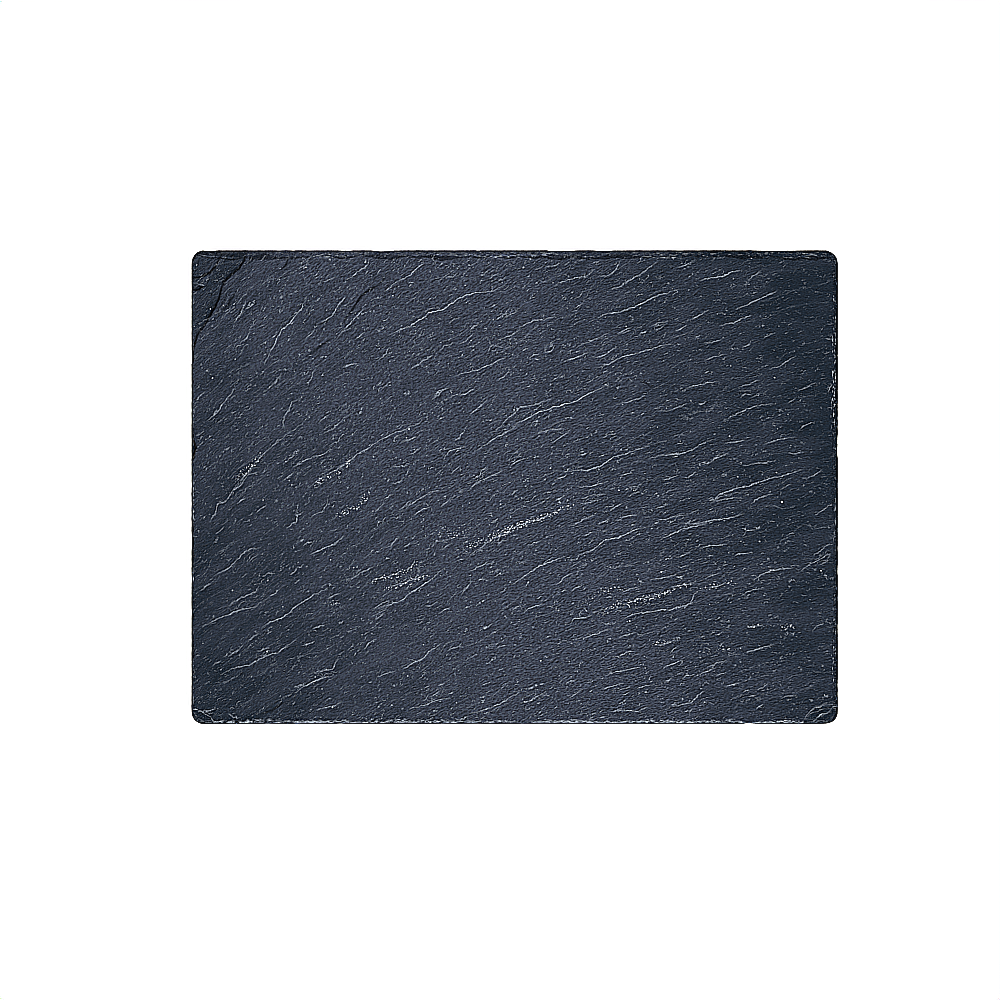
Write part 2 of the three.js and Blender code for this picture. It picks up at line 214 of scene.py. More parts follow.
    (0.25, [(28.2, 64.8), (34.2, 67.6), (39.8, 69.5), (44.4, 71.8)]),
    (0.5, [(27.7, 82.9), (31.0, 84.8)]),
    (0.45, [(-26.6, 42.6), (-23.3, 43.0), (-20.6, 44.4), (-18.2, 46.7)]),
    (0.35, [(-8.0, 49.1), (-4.8, 51.4), (-2.0, 54.2)]),
    (0.3, [(16.6, 49.1), (19.4, 50.9), (21.7, 53.2)]),
    (0.3, [
        (-12.2, 24.9), (-8.5, 26.3), (-5.7, 29.1), (-3.4, 31.4), (-0.1, 34.2), (2.2, 37.0),
        (7.3, 37.9), (11.9, 39.3), (17.5, 41.2),
    ]),
    (0.35, [(-38.2, 41.6), (-35.4, 44.4), (-32.2, 46.3)]),
    (0.25, [(-11.7, 96.4), (-9.4, 98.2), (-7.1, 99.2)]),
    (0.3, [(-31.7, 96.9), (-28.9, 97.3), (-26.1, 99.6)]),
    (0.3, [(-47.9, 87.1), (-45.6, 88.0)]),
    (0.25, [(-30.3, 76.4), (-28.0, 77.8), (-24.7, 78.8)]),
    (0.25, [(14.7, 102.0), (18.4, 102.9), (21.7, 103.8)]),
    (0.35, [(35.6, 103.4), (39.3, 104.7)]),
    (0.3, [(37.9, 97.3), (42.6, 98.2), (45.8, 99.6), (48.1, 102.4), (49.1, 105.2)]),
    (0.3, [(-34.5, 63.0), (-32.6, 65.3), (-28.0, 67.2)]),
    (0.25, [(-26.1, 66.2), (-22.9, 67.6), (-20.6, 69.9), (-18.7, 71.8)]),
    (0.3, [(44.4, 91.8), (49.1, 93.1), (53.7, 96.4), (57.4, 98.2), (62.1, 101.5), (66.2, 104.7)]),
    (0.4, [(82.0, 77.8), (84.8, 79.2), (89.9, 82.0)]),
    (0.45, [(74.6, 72.3), (76.9, 73.2), (79.7, 75.5)]),
    (0.3, [(63.0, 74.6), (67.6, 76.4), (71.3, 76.9)]),
    (0.3, [(64.8, 72.7), (69.5, 75.0)]),
    (0.35, [(57.4, 70.4), (61.1, 72.3)]),
    (0.35, [(47.7, 70.9), (50.9, 72.7), (54.2, 74.1)]),
    (0.4, [(83.4, 69.0), (86.2, 70.4)]),
    (0.4, [(85.7, 95.5), (90.4, 96.9), (95.9, 97.8), (100.6, 99.6), (105.2, 100.6)]),
    (0.35, [(107.5, 95.5), (110.3, 97.8), (113.6, 99.6)]),
    (0.3, [(115.0, 69.0), (118.7, 70.9), (121.0, 71.8)]),
    (0.3, [(105.2, 64.8), (109.4, 66.7)]),
    (0.3, [(117.7, 54.6), (122.4, 56.0), (126.6, 58.8), (130.3, 60.7)]),
    (0.3, [(87.1, 66.7), (91.8, 67.2), (95.9, 68.5)]),
    (0.25, [(87.6, 58.3), (91.8, 60.2), (97.3, 61.6)]),
    (0.35, [(130.7, 44.4), (134.9, 46.3), (139.6, 48.6)]),
    (0.35, [(144.7, 44.4), (147.4, 47.2)]),
    (0.25, [(126.6, 38.8), (130.3, 41.2)]),
    (0.25, [(104.3, 41.2), (106.6, 43.0), (109.9, 43.0)]),
    (0.4, [(84.8, 38.4), (87.1, 38.4), (89.0, 39.8)]),
    (0.35, [(74.6, 36.5), (77.8, 37.9), (79.7, 38.8)]),
    (0.35, [(48.1, 38.4), (52.8, 39.8), (58.3, 41.2)]),
    (0.3, [(63.4, 46.3), (60.7, 48.6), (57.4, 49.5)]),
    (0.25, [(103.8, 46.7), (109.4, 48.1), (112.6, 50.0)]),
    (0.35, [(75.5, 101.5), (78.8, 102.9), (82.9, 104.3)]),
    (0.4, [(-128.7, -8.0), (-126.8, -6.2), (-124.5, -4.8)]),
    (0.3, [(-119.9, -12.2), (-117.6, -9.9), (-114.8, -8.0)]),
    (0.3, [(-108.3, 2.2), (-105.0, 4.5), (-102.2, 7.3)]),
    (0.3, [(-101.8, -12.7), (-100.8, -9.4), (-100.4, -7.6)]),
    (0.3, [(-95.7, -14.5), (-92.5, -12.7), (-89.2, -11.3), (-86.9, -8.0), (-86.5, -5.2)]),
    (0.45, [(-138.9, -21.5), (-137.0, -20.6), (-134.7, -18.2)]),
    (0.4, [(-147.7, 24.0), (-145.9, 24.5), (-144.0, 26.3)]),
    (0.2, [(-107.3, 10.5), (-104.1, 13.3), (-100.8, 15.6)]),
    (0.3, [(-93.9, 13.8), (-90.2, 14.7), (-87.4, 16.1), (-85.5, 18.0)]),
    (0.35, [(-64.6, -11.3), (-62.3, -9.0), (-59.5, -7.1)]),
    (0.45, [(-60.5, -5.7), (-57.2, -3.4)]),
    (0.35, [(-53.5, -10.8), (-51.2, -8.5), (-48.4, -6.2)]),
    (0.3, [(-87.9, 24.9), (-84.1, 27.7), (-80.4, 30.5), (-78.1, 32.8)]),
    (0.25, [(-91.1, 29.6), (-88.3, 31.9), (-85.5, 33.7)]),
    (0.3, [(-57.2, 9.1), (-53.5, 9.6), (-49.3, 10.1)]),
    (0.4, [(-51.2, -28.0), (-48.4, -25.7)]),
    (0.3, [(-60.0, -28.4), (-56.8, -27.1), (-55.4, -24.3), (-53.0, -23.3)]),
    (0.3, [(-67.4, -24.7), (-65.1, -21.5)]),
    (0.4, [(-146.8, 18.4), (-144.5, 21.2)]),
    (0.35, [(-98.1, -27.1), (-96.2, -25.7), (-93.9, -25.2)]),
    (0.3, [(-56.8, 1.3), (-53.0, 2.6), (-51.2, 4.0)]),
    (0.4, [(-28.0, 21.2), (-25.7, 23.1), (-24.3, 24.9)]),
    (0.4, [(-51.7, 21.2), (-47.9, 22.6), (-45.2, 23.5)]),
    (0.3, [(-48.9, 15.2), (-46.1, 16.6), (-43.3, 18.4)]),
    (0.35, [(-19.2, 4.0), (-16.4, 5.4), (-15.0, 7.8), (-12.2, 9.1)]),
    (0.35, [(-21.0, -1.1), (-17.8, 2.2), (-13.6, 3.6), (-10.3, 5.4), (-7.6, 6.8), (-5.2, 8.7)]),
    (0.4, [(-2.0, 9.6), (-0.1, 11.5), (2.2, 12.9), (4.5, 13.3)]),
    (0.25, [(-1.1, 15.2), (1.3, 16.6), (3.1, 18.9)]),
    (0.3, [(-34.5, -9.4), (-31.7, -7.1), (-29.4, -4.8)]),
    (0.35, [
        (-50.7, -10.3), (-48.4, -7.6), (-44.7, -5.7), (-41.9, -4.3), (-39.1, -2.0), (-34.5, -1.5),
    ]),
    (0.3, [(-34.5, -28.9), (-31.7, -27.1), (-28.9, -26.1)]),
    (0.4, [(5.9, -27.1), (9.1, -25.7), (12.4, -24.7)]),
    (0.35, [(-8.0, -27.1), (-5.2, -24.7), (-2.9, -23.8)]),
    (0.35, [(18.0, 3.6), (21.7, 4.5), (24.5, 6.4)]),
    (0.35, [(29.1, -0.1), (33.3, 0.3), (39.8, 1.7), (43.5, 2.6)]),
    (0.3, [(30.0, -7.6), (33.3, -7.1), (38.4, -5.7)]),
    (0.25, [(31.9, -4.8), (36.1, -3.9), (42.6, -2.5)]),
    (0.3, [(38.4, -17.3), (41.2, -15.9), (44.0, -14.5)]),
    (0.3, [(32.3, -22.4), (36.1, -21.0)]),
    (0.3, [(40.7, 23.1), (44.0, 24.5), (47.2, 24.9)]),
    (0.3, [(8.7, 28.2), (11.0, 30.0)]),
    (0.25, [(29.1, 14.7), (33.3, 15.6)]),
    (0.3, [(-1.5, -3.4), (1.3, -1.1)]),
    (0.3, [(44.0, -10.3), (49.1, -8.5)]),
    (0.3, [(18.9, -6.2), (22.1, -4.3)]),
    (0.4, [(68.5, 3.6), (71.8, 4.0), (75.5, 5.4)]),
    (0.4, [(79.7, 4.0), (82.0, 5.9), (84.3, 7.8)]),
    (0.35, [(86.2, 10.5), (90.4, 11.9), (94.1, 13.8), (99.2, 15.6)]),
    (0.4, [(105.7, 10.1), (112.2, 11.0), (116.3, 11.5), (120.1, 12.4)]),
    (0.45, [(126.6, 16.1), (130.3, 15.6), (134.0, 16.1)]),
    (0.4, [(109.4, -7.6), (112.2, -5.7), (115.0, -4.3), (119.6, -2.9)]),
    (0.3, [(122.8, -1.5), (125.2, 0.3), (128.0, 1.7)]),
    (0.35, [(133.1, 3.6), (136.8, 5.0), (140.5, 6.4), (142.8, 8.2)]),
    (0.35, [(131.7, 26.3), (134.9, 29.1), (138.2, 30.0)]),
    (0.4, [(87.1, -28.4), (89.9, -27.1), (94.1, -27.1), (98.2, -26.1)]),
    (0.35, [(74.6, -32.6), (77.8, -31.2), (81.5, -29.8)]),
    (0.3, [(105.2, -22.9), (107.1, -20.6), (110.3, -19.6), (114.5, -18.7)]),
    (0.3, [(138.6, -13.1), (142.3, -11.3), (145.6, -8.5), (147.9, -7.6)]),
    (0.3, [(47.2, -15.9), (50.0, -14.1), (53.7, -12.7), (57.4, -12.7)]),
    (0.3, [(65.3, -9.9), (69.5, -9.0)]),
    (0.35, [(65.8, -15.5), (70.9, -14.5), (75.5, -13.1), (79.7, -12.7)]),
    (0.4, [(78.8, -17.3), (81.5, -15.0)]),
    (0.3, [(96.4, 20.3), (102.4, 20.7), (107.5, 22.1)]),
    (0.3, [(52.3, -4.3), (55.6, -2.5), (58.3, -2.0)]),
    (0.3, [(48.1, 5.4), (51.8, 5.9), (55.6, 8.2)]),
    (0.3, [(69.9, -2.5), (72.3, -1.1)]),
    (0.3, [(52.3, 0.3), (56.0, 0.3), (58.3, 1.3)]),
    (0.35, [(138.2, -31.7), (141.9, -29.4), (144.7, -27.1), (147.4, -26.1)]),
    (0.3, [(-145.9, -48.4), (-143.5, -46.5), (-140.8, -44.7)]),
    (0.3, [(-123.1, -34.5), (-121.3, -32.6), (-118.9, -30.8)]),
    (0.45, [(-113.4, -50.3), (-111.5, -49.3), (-109.7, -47.9)]),
    (0.45, [(-102.2, -44.7), (-99.5, -42.8)]),
    (0.4, [(-104.1, -40.5), (-101.8, -39.1), (-100.8, -37.3)]),
    (0.35, [(-99.9, -37.3), (-97.6, -35.9)]),
    (0.25, [(-117.1, -41.4), (-114.3, -40.1), (-111.5, -40.1)]),
    (0.25, [(-126.8, -41.9), (-124.1, -40.1)]),
    (0.3, [(-86.5, -51.7), (-83.2, -49.8), (-80.4, -48.9)]),
    (0.4, [(-65.6, -56.8), (-61.9, -54.4), (-58.6, -52.6)]),
    (0.3, [(-66.5, -60.0), (-62.8, -58.2), (-59.1, -56.3)]),
    (0.3, [(-64.6, -61.4), (-60.5, -58.6)]),
    (0.3, [(-80.9, -69.8), (-79.0, -68.8)]),
    (0.3, [(-114.8, -67.9), (-112.5, -66.5)]),
    (0.4, [(-93.4, -66.0), (-91.1, -64.6), (-88.3, -63.7)]),
    (0.35, [(-98.5, -73.5), (-95.3, -72.5), (-92.5, -71.1)]),
    (0.3, [(-123.6, -71.1), (-120.8, -69.3), (-118.5, -67.4)]),
    (0.3, [(-132.9, -78.6), (-130.1, -76.7), (-127.3, -74.9)]),
    (0.35, [(-119.4, -76.3), (-116.6, -75.3), (-113.4, -74.4)]),
    (0.35, [(-102.2, -92.5), (-99.9, -91.6), (-97.6, -90.6)]),
    (0.3, [(-105.5, -99.0), (-108.7, -100.8), (-112.5, -103.2), (-118.0, -105.0)]),
    (0.3, [(-92.0, -103.6), (-87.9, -102.2), (-83.7, -101.3), (-79.5, -99.5)]),
    (0.4, [(-147.3, -104.1), (-143.1, -103.6), (-138.4, -102.7)]),
    (0.35, [(-132.4, -104.6), (-130.1, -106.4), (-126.4, -106.9)]),
    (0.35, [(-91.1, -86.9), (-88.8, -84.6)]),
    (0.25, [(-64.2, -88.3), (-60.0, -86.5), (-54.9, -85.1)]),
    (0.35, [(-52.1, -39.1), (-49.3, -37.7), (-47.5, -35.9), (-46.1, -34.0)]),
    (0.4, [(-21.0, -39.1), (-18.2, -37.3), (-15.0, -36.3), (-12.2, -34.5)]),
    (0.4, [(-24.7, -49.8), (-22.9, -47.0), (-21.0, -44.7), (-19.2, -43.3)]),
    (0.45, [(-16.8, -43.3), (-14.1, -42.4)]),
    (0.4, [(-41.0, -55.4), (-38.2, -54.4), (-35.4, -52.6)]),
    (0.35, [(-35.4, -58.6), (-32.6, -56.8), (-29.8, -55.4)]),
    (0.3, [(-45.6, -63.3), (-42.4, -61.9)]),
    (0.35, [(-1.5, -56.8), (1.3, -55.4), (4.0, -55.4)]),
    (0.4, [(4.0, -58.2), (6.4, -56.3), (9.6, -54.9), (13.3, -54.0)]),
    (0.3, [(-14.1, -66.0), (-12.2, -64.2), (-10.3, -62.8)]),
    (0.3, [(26.3, -47.9), (28.6, -46.5), (31.4, -45.2)]),
    (0.4, [(25.4, -63.3), (27.7, -60.9), (31.0, -60.5), (36.1, -59.5)]),
    (0.35, [(14.2, -69.3), (17.0, -68.8)]),
    (0.35, [(-8.5, -74.9), (-6.6, -73.9), (-3.9, -73.0)]),
    (0.25, [(-31.2, -75.8), (-28.4, -74.4), (-26.1, -73.0)]),
    (0.3, [(31.0, -69.8), (35.1, -68.8), (40.2, -67.0), (44.4, -65.6)]),
    (0.35, [(19.8, -73.0), (22.1, -72.1)]),
    (0.35, [(23.5, -91.1), (25.9, -89.7), (28.6, -89.2)]),
    (0.3, [(24.9, -97.6), (28.2, -95.7), (31.9, -93.4)]),
    (0.35, [(5.0, -99.5), (8.2, -98.5), (11.0, -96.7), (14.2, -96.2), (16.6, -97.1)]),
    (0.35, [(5.9, -93.4), (9.1, -92.5)]),
    (0.35, [(-41.9, -93.0), (-39.1, -91.6)]),
    (0.3, [(-35.4, -92.0), (-32.6, -90.6)]),
    (0.25, [(-40.1, -97.6), (-37.3, -96.2), (-34.0, -93.9)]),
    (0.4, [(-15.0, -91.6), (-12.7, -90.6)]),
    (0.4, [(39.3, -107.3), (42.1, -106.0)]),
    (0.35, [(45.3, -104.1), (48.6, -102.7)]),
    (0.4, [(-26.6, -108.7), (-24.3, -107.3), (-21.5, -106.0)]),
    (0.35, [(50.4, -36.8), (55.1, -36.3)]),
    (0.35, [(76.4, -37.3), (80.2, -36.3)]),
    (0.25, [(86.2, -35.4), (89.9, -34.5)]),
    (0.3, [(88.5, -41.9), (92.2, -40.5), (95.0, -39.6)]),
    (0.35, [(49.1, -48.4), (53.7, -47.5), (57.4, -46.1)]),
    (0.4, [(72.7, -46.1), (78.3, -45.6), (83.4, -43.8)]),
    (0.4, [(89.0, -47.0), (92.2, -46.1), (95.0, -45.6), (97.8, -44.2)]),
    (0.35, [(104.7, -50.7), (107.5, -48.9), (110.3, -47.5), (113.6, -46.5)]),
    (0.3, [(48.1, -69.8), (51.8, -68.4), (56.5, -67.0)]),
    (0.4, [(92.7, -68.4), (94.5, -67.9), (96.9, -66.5)]),
    (0.45, [(89.0, -61.9), (91.3, -60.9)]),
    (0.4, [(107.5, -65.1), (111.2, -64.2), (115.0, -63.7)]),
    (0.35, [(120.1, -60.5), (122.4, -59.5)]),
    (0.3, [(137.7, -67.0), (139.6, -64.6), (143.3, -62.8)]),
    (0.4, [(89.0, -83.2), (92.2, -82.3), (94.5, -80.9), (98.7, -80.0)]),
    (0.4, [(85.7, -87.4), (87.6, -85.5), (89.9, -85.1), (93.1, -83.7)]),
    (0.35, [(77.4, -89.2), (79.7, -87.4), (83.4, -86.9)]),
    (0.25, [(69.5, -89.7), (73.2, -88.8)]),
    (0.35, [(56.5, -93.4), (59.3, -92.0), (63.0, -92.0)]),
    (0.3, [(50.0, -96.7), (53.7, -94.4)]),
    (0.35, [
        (44.9, -104.1), (48.1, -103.2), (52.3, -103.2), (56.5, -103.6), (60.2, -102.2),
        (63.4, -100.8),
    ]),
    (0.3, [(72.3, -100.8), (75.0, -99.9)]),
    (0.35, [(105.7, -94.8), (108.5, -93.9)]),
    (0.35, [(108.5, -96.7), (111.7, -96.2)]),
    (0.3, [(112.2, -93.9), (115.4, -92.5), (117.3, -90.6)]),
    (0.45, [(111.7, -102.7), (115.0, -100.8)]),
    (0.3, [(123.3, -97.6), (126.6, -96.7), (130.3, -96.7)]),
    (0.35, [(140.9, -36.3), (143.7, -34.9), (146.1, -33.1)]),
    (0.3, [(101.5, -32.2), (103.8, -30.8), (110.3, -30.3)]),
    (0.3, [(89.0, -32.2), (91.8, -31.7)]),
    (0.5, [(138.2, -109.2), (140.9, -106.4), (142.8, -105.0), (145.6, -104.6)]),
]

# Bands of pale mineral grains: half the width of each, how dense it is, and its points
VEINS = [
    (1.3, 1.0, [
        (-25.2, -30.8), (-20.6, -27.1), (-15.0, -24.7), (-9.4, -22.4), (-2.9, -19.6), (2.6, -17.3),
        (8.2, -15.5), (12.9, -14.1), (17.5, -12.2), (21.2, -10.3), (26.3, -8.5),
    ]),
    (1.0, 0.9, [(-66.5, -43.8), (-59.5, -41.9), (-53.0, -40.1), (-49.3, -38.2), (-45.2, -34.9)]),
    (1.1, 0.8, [(-60.5, -47.9), (-53.0, -44.7), (-47.5, -43.3), (-43.8, -41.0), (-39.1, -40.5)]),
    (1.2, 0.8, [(-83.7, -13.6), (-78.1, -11.3), (-72.5, -9.0), (-68.8, -4.3), (-67.4, -1.5)]),
    (1.8, 0.45, [(-37.3, -23.3), (-32.6, -19.6), (-28.9, -22.0), (-25.2, -20.1), (-19.6, -19.6)]),
    (1.4, 0.35, [(-89.2, -54.4), (-83.7, -53.5), (-78.1, -56.3)]),
    (1.6, 0.5, [(28.6, -55.8), (35.1, -52.1), (38.8, -48.4), (45.3, -47.5), (51.8, -47.5)]),
    (1.2, 0.9, [
        (39.8, -59.1), (44.4, -55.8), (47.2, -54.0), (52.8, -54.0), (58.3, -52.1), (65.8, -50.3),
        (72.3, -47.9),
    ]),
    (1.0, 0.5, [(72.3, -46.1), (78.8, -45.6), (83.4, -43.3)]),
    (1.1, 0.6, [(63.0, -73.0), (69.5, -71.6), (75.5, -70.2)]),
    (1.6, 0.35, [(84.3, -77.6), (91.8, -75.3), (98.2, -74.9), (104.7, -74.4), (111.2, -71.1)]),
    (1.0, 0.5, [(106.6, -65.1), (115.0, -63.7)]),
    (1.3, 0.4, [(123.3, -66.5), (126.1, -64.6), (132.6, -63.7)]),
    (1.4, 0.7, [(-129.2, 4.5), (-124.1, 7.3), (-122.2, 9.6), (-118.5, 13.8), (-116.6, 16.1)]),
    (1.2, 0.7, [
        (-93.9, -1.1), (-88.8, 4.5), (-85.5, 5.4), (-80.9, 7.8), (-77.6, 11.0), (-74.9, 13.8),
    ]),
    (1.6, 0.4, [(86.2, -47.0), (98.2, -44.2), (104.7, -44.7)]),
]

# Flakes split off at the corners and the left edge: the depth of each, and the ledge that bounds
# it, closed outside the slab
FLAKES = [
    (0.75, [(-124, 116), (-124.5, 108.6), (-125.1, 105.1), (-127.7, 101.5), (-130.9, 98.7),
            (-134.1, 95.8), (-135.5, 92.9), (-137.3, 86.5), (-140.4, 80.8), (-143.6, 75),
            (-147.2, 70), (-149.1, 62.5), (-156, 60), (-156, 116)]),
    (0.45, [(-135.5, 116), (-136, 108), (-137.3, 104.4), (-138.8, 102), (-141.4, 99.4),
            (-146.5, 97), (-156, 98), (-156, 116)]),
    (1.1, [(-156, 95), (-147.6, 94.6), (-144, 93.3), (-147, 91.4), (-156, 91)]),
    (1.3, [(-156, 23), (-148.9, 22), (-147.6, 18), (-149.2, 13), (-156, 12)]),
    (0.9, [(130, -116), (134, -107.3), (138, -102.6), (145, -100.6), (156, -101), (156, -116)]),
    (0.9, [(135, -116), (139, -107.6), (144.6, -105), (148, -101.5), (156, -104), (156, -116)]),
    (1.1, [(-156, -102), (-147, -103), (-141, -106.4), (-135, -116), (-156, -116)]),
]


# Noise and curves

def chance(n):
    """A repeatable number from 0 to 1 for each whole number."""
    wide = np.sin(n * 12.9898 + 4.137) * 43758.5453
    return wide - np.floor(wide)


def eased(share):
    return share * share * (3 - 2 * share)


def rise(value, start, end):
    """0 below start, 1 above end, and an eased climb between them."""
    return eased(np.clip((value - start) / (end - start), 0, 1))


def loop_noise(run, loop, wavelength, seed):
    """Smooth noise from -1 to 1 along a loop of that length, which meets itself at the ends."""
    waves = round(loop / wavelength)
    at = run / loop * waves
    cell = np.floor(at)
    blend = eased(at - cell)
    first = chance(seed * 1000 + cell % waves)
    second = chance(seed * 1000 + (cell + 1) % waves)
    return 2 * (first + (second - first) * blend) - 1


def rough(x, y, seed):
    """Smooth noise over a plane, from about -1 to 1, with hills about one unit across."""
    turns = np.random.default_rng(seed).uniform(0, 2 * math.pi, (256, 256))
    east, north = np.cos(turns), np.sin(turns)
    column, row = np.floor(x).astype(int), np.floor(y).astype(int)
    across, up = x - column, y - row

    def pull(i, j):
        at = (column + i) & 255, (row + j) & 255
        return east[at] * (across - i) + north[at] * (up - j)

    ease_x, ease_y = eased(across), eased(up)
    front = pull(0, 0) + (pull(1, 0) - pull(0, 0)) * ease_x
    back = pull(0, 1) + (pull(1, 1) - pull(0, 1)) * ease_x
    return 1.6 * (front + (back - front) * ease_y)


def along_grain(x, y):
    """How far a point is along the grain, and how far across it."""
    along = math.cos(GRAIN_SLOPE) * x + math.sin(GRAIN_SLOPE) * y
    across = math.cos(GRAIN_SLOPE) * y - math.sin(GRAIN_SLOPE) * x
    return along, across + GRAIN_FAN * x * x + GRAIN_TWIST * x * y


# The blank

# The sheet has small cells in a band along its edges and larger ones between, and its wall has
# rows for the riser and the tread of each bed
EDGE_BAND = 6.0
EDGE_CELL, FACE_CELL = ((0.3, 0.48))
RISER_ROWS = [4, 3, 3, 3, 3]
TREAD_ROWS = 2
RIM_ROWS = sum(RISER_ROWS) + TREAD_ROWS * (len(RISER_ROWS) - 1)
EDGE_CELLS = round(EDGE_BAND / EDGE_CELL)


def cells(side):
    return round((side - 2 * EDGE_BAND) / FACE_CELL) + 2 * EDGE_CELLS


def blank_slab():
    """A sheet of even cells, raised to the slab's thickness, with its wall cut into rows."""
    bpy.ops.object.select_all(action="DESELECT")
    bpy.ops.mesh.primitive_grid_add(
        x_subdivisions=cells(LENGTH), y_subdivisions=cells(WIDTH), size=1)
    blank = bpy.context.object
    blank.name = "slate_slab"
    bpy.ops.object.mode_set(mode="EDIT")
    bpy.ops.mesh.select_all(action="SELECT")
    bpy.ops.mesh.extrude_region_move(TRANSFORM_OT_translate={"value": (0, 0, RIM_ROWS)})
    bpy.ops.mesh.select_all(action="DESELECT")
    bpy.ops.object.mode_set(mode="OBJECT")
    mesh = blank.data
    ends = np.empty(2 * len(mesh.edges), np.int32)
    mesh.edges.foreach_get("vertices", ends)
    heights = points_of(mesh)[:, 2][ends.reshape(-1, 2)]
    mesh.edges.foreach_set("select", heights[:, 0] != heights[:, 1])
    bpy.context.tool_settings.mesh_select_mode = (False, True, False)
    bpy.ops.object.mode_set(mode="EDIT")
    bpy.ops.mesh.subdivide(number_cuts=RIM_ROWS - 1)
    bpy.ops.object.mode_set(mode="OBJECT")
    return blank


def points_of(mesh):
    found = np.empty(3 * len(mesh.vertices), np.float32)
    mesh.vertices.foreach_get("co", found)
    return found.reshape(-1, 3).astype(float)


def set_points(mesh, points):
    mesh.vertices.foreach_set("co", points.astype(np.float32).ravel())
    mesh.update()


def spread(share, side):
    """Places even cells across a side, closer together in the band at each end."""
    count = cells(side)
    cell = np.round((share + 0.5) * count)
    inner = side / 2 - EDGE_BAND
    near = -side / 2 + cell * EDGE_BAND / EDGE_CELLS
    middle = -inner + (cell - EDGE_CELLS) * 2 * inner / (count - 2 * EDGE_CELLS)
    far = side / 2 - (count - cell) * EDGE_BAND / EDGE_CELLS
    return np.where(cell < EDGE_CELLS, near, np.where(cell > count - EDGE_CELLS, far, middle))


def rounded(x, y):
    """Draws the square corners of the sheet in to arcs."""
    past_x = np.abs(x) - LENGTH / 2 + CORNER_RADIUS
    past_y = np.abs(y) - WIDTH / 2 + CORNER_RADIUS
    corner = (past_x > 0) & (past_y > 0)
    square = 2 * CORNER_RADIUS**2
    in_x = past_x * np.sqrt(1 - np.where(corner, past_y, 0) ** 2 / square)
    in_y = past_y * np.sqrt(1 - np.where(corner, past_x, 0) ** 2 / square)
    new_x = np.sign(x) * (LENGTH / 2 - CORNER_RADIUS + in_x)
    new_y = np.sign(y) * (WIDTH / 2 - CORNER_RADIUS + in_y)
    return np.where(corner, new_x, x), np.where(corner, new_y, y)


class Outline:
    """For each point: its distance inside the outline, the way out, and how far round it is."""

    def __init__(self, x, y):
        half_x, half_y = LENGTH / 2 - CORNER_RADIUS, WIDTH / 2 - CORNER_RADIUS
        past_x, past_y = np.abs(x) - half_x, np.abs(y) - half_y
        corner = (past_x > 0) & (past_y > 0)
        reach = np.where(corner, np.hypot(past_x, past_y), 1)
        endways = past_y > past_x
        self.inside = CORNER_RADIUS - np.where(corner, reach, np.maximum(past_x, past_y))
        self.out_x = np.where(corner, past_x / reach, ~endways) * np.sign(x)
        self.out_y = np.where(corner, past_y / reach, endways) * np.sign(y)
        quarter = math.pi / 2 * CORNER_RADIUS
        long, short = 2 * half_x, 2 * half_y
        turn = np.arctan2(self.out_y, self.out_x) % (2 * math.pi)
        quadrant = np.floor(turn / (math.pi / 2) + 1e-9).astype(int) % 4
        starts = np.cumsum([0, quarter + long, quarter + short, quarter + long])
        in_arc = starts[quadrant] + (turn % (math.pi / 2)) * CORNER_RADIUS
        back = quarter + half_x - x
        left = starts[1] + quarter + half_y - y
        front = starts[2] + quarter + half_x + x
        right = starts[3] + quarter + half_y + y
        on_side = np.where(endways, np.where(y > 0, back, front), np.where(x > 0, right, left))
        self.loop = 4 * quarter + 2 * (long + short)
        self.run = np.where(corner, in_arc, on_side)


# The rim

def chips(run, loop, count, widest, deepest, seed):
    """Shell-shaped bites out of an edge, as their depth at each place round the rim."""
    depth = np.zeros_like(run)
    for i in range(count):
        centre, size, share = (chance(seed + 3 * i + k) for k in range(3))
        width = widest * (0.25 + 0.75 * size**2)
        gap = (run - centre * loop + loop / 2) % loop - loop / 2
        bowl = np.sqrt(np.clip(1 - (gap / width) ** 2, 0, 1))
        depth = np.maximum(depth, bowl * deepest * (0.3 + 0.7 * share) * width / widest)
    return depth


def side_by_side(outline, values):
    """A value for each side of the slab, blended round its corners."""
    sideways = np.where(outline.out_x > 0, values["right"], values["left"])
    endways = np.where(outline.out_y > 0, values["back"], values["front"])
    return outline.out_x**2 * sideways + outline.out_y**2 * endways


def bed_insets(outline):
    """How far each bed is set in from the outline, from the table up."""
    run, loop = outline.run, outline.loop
    dressed = side_by_side(outline, DRESSED)
    nick = loop_noise(run, loop, 9, 50) * loop_noise(run, loop, 31, 51)
    insets = [np.maximum(0, nick - NICK_RARITY) * NICK_DEPTH + chips(run, loop, 60, 4, 0.35, 700)]
    for bed in range(1, len(BED_TOPS)):
        scallop = 1.0
        for k, (wavelength, share) in enumerate(SCALLOPS):
            scallop = scallop + share * loop_noise(run, loop, wavelength, bed + 20 * k)
        lost = BED_LOSSES[bed] - BED_LOSSES[bed - 1]
        step = BATTER + LEAST_TREAD + dressed * lost * scallop
        bite = chips(run, loop, 150, 7, 0.5, 100 * bed) * (0.35 + dressed / 2)
        fine = 0.16 * loop_noise(run, loop, 2.6, bed + 60)
        fine += 0.1 * loop_noise(run, loop, 1.1, bed + 80)
        insets.append(insets[-1] + np.maximum(LEAST_TREAD, step + bite + fine))
    return insets


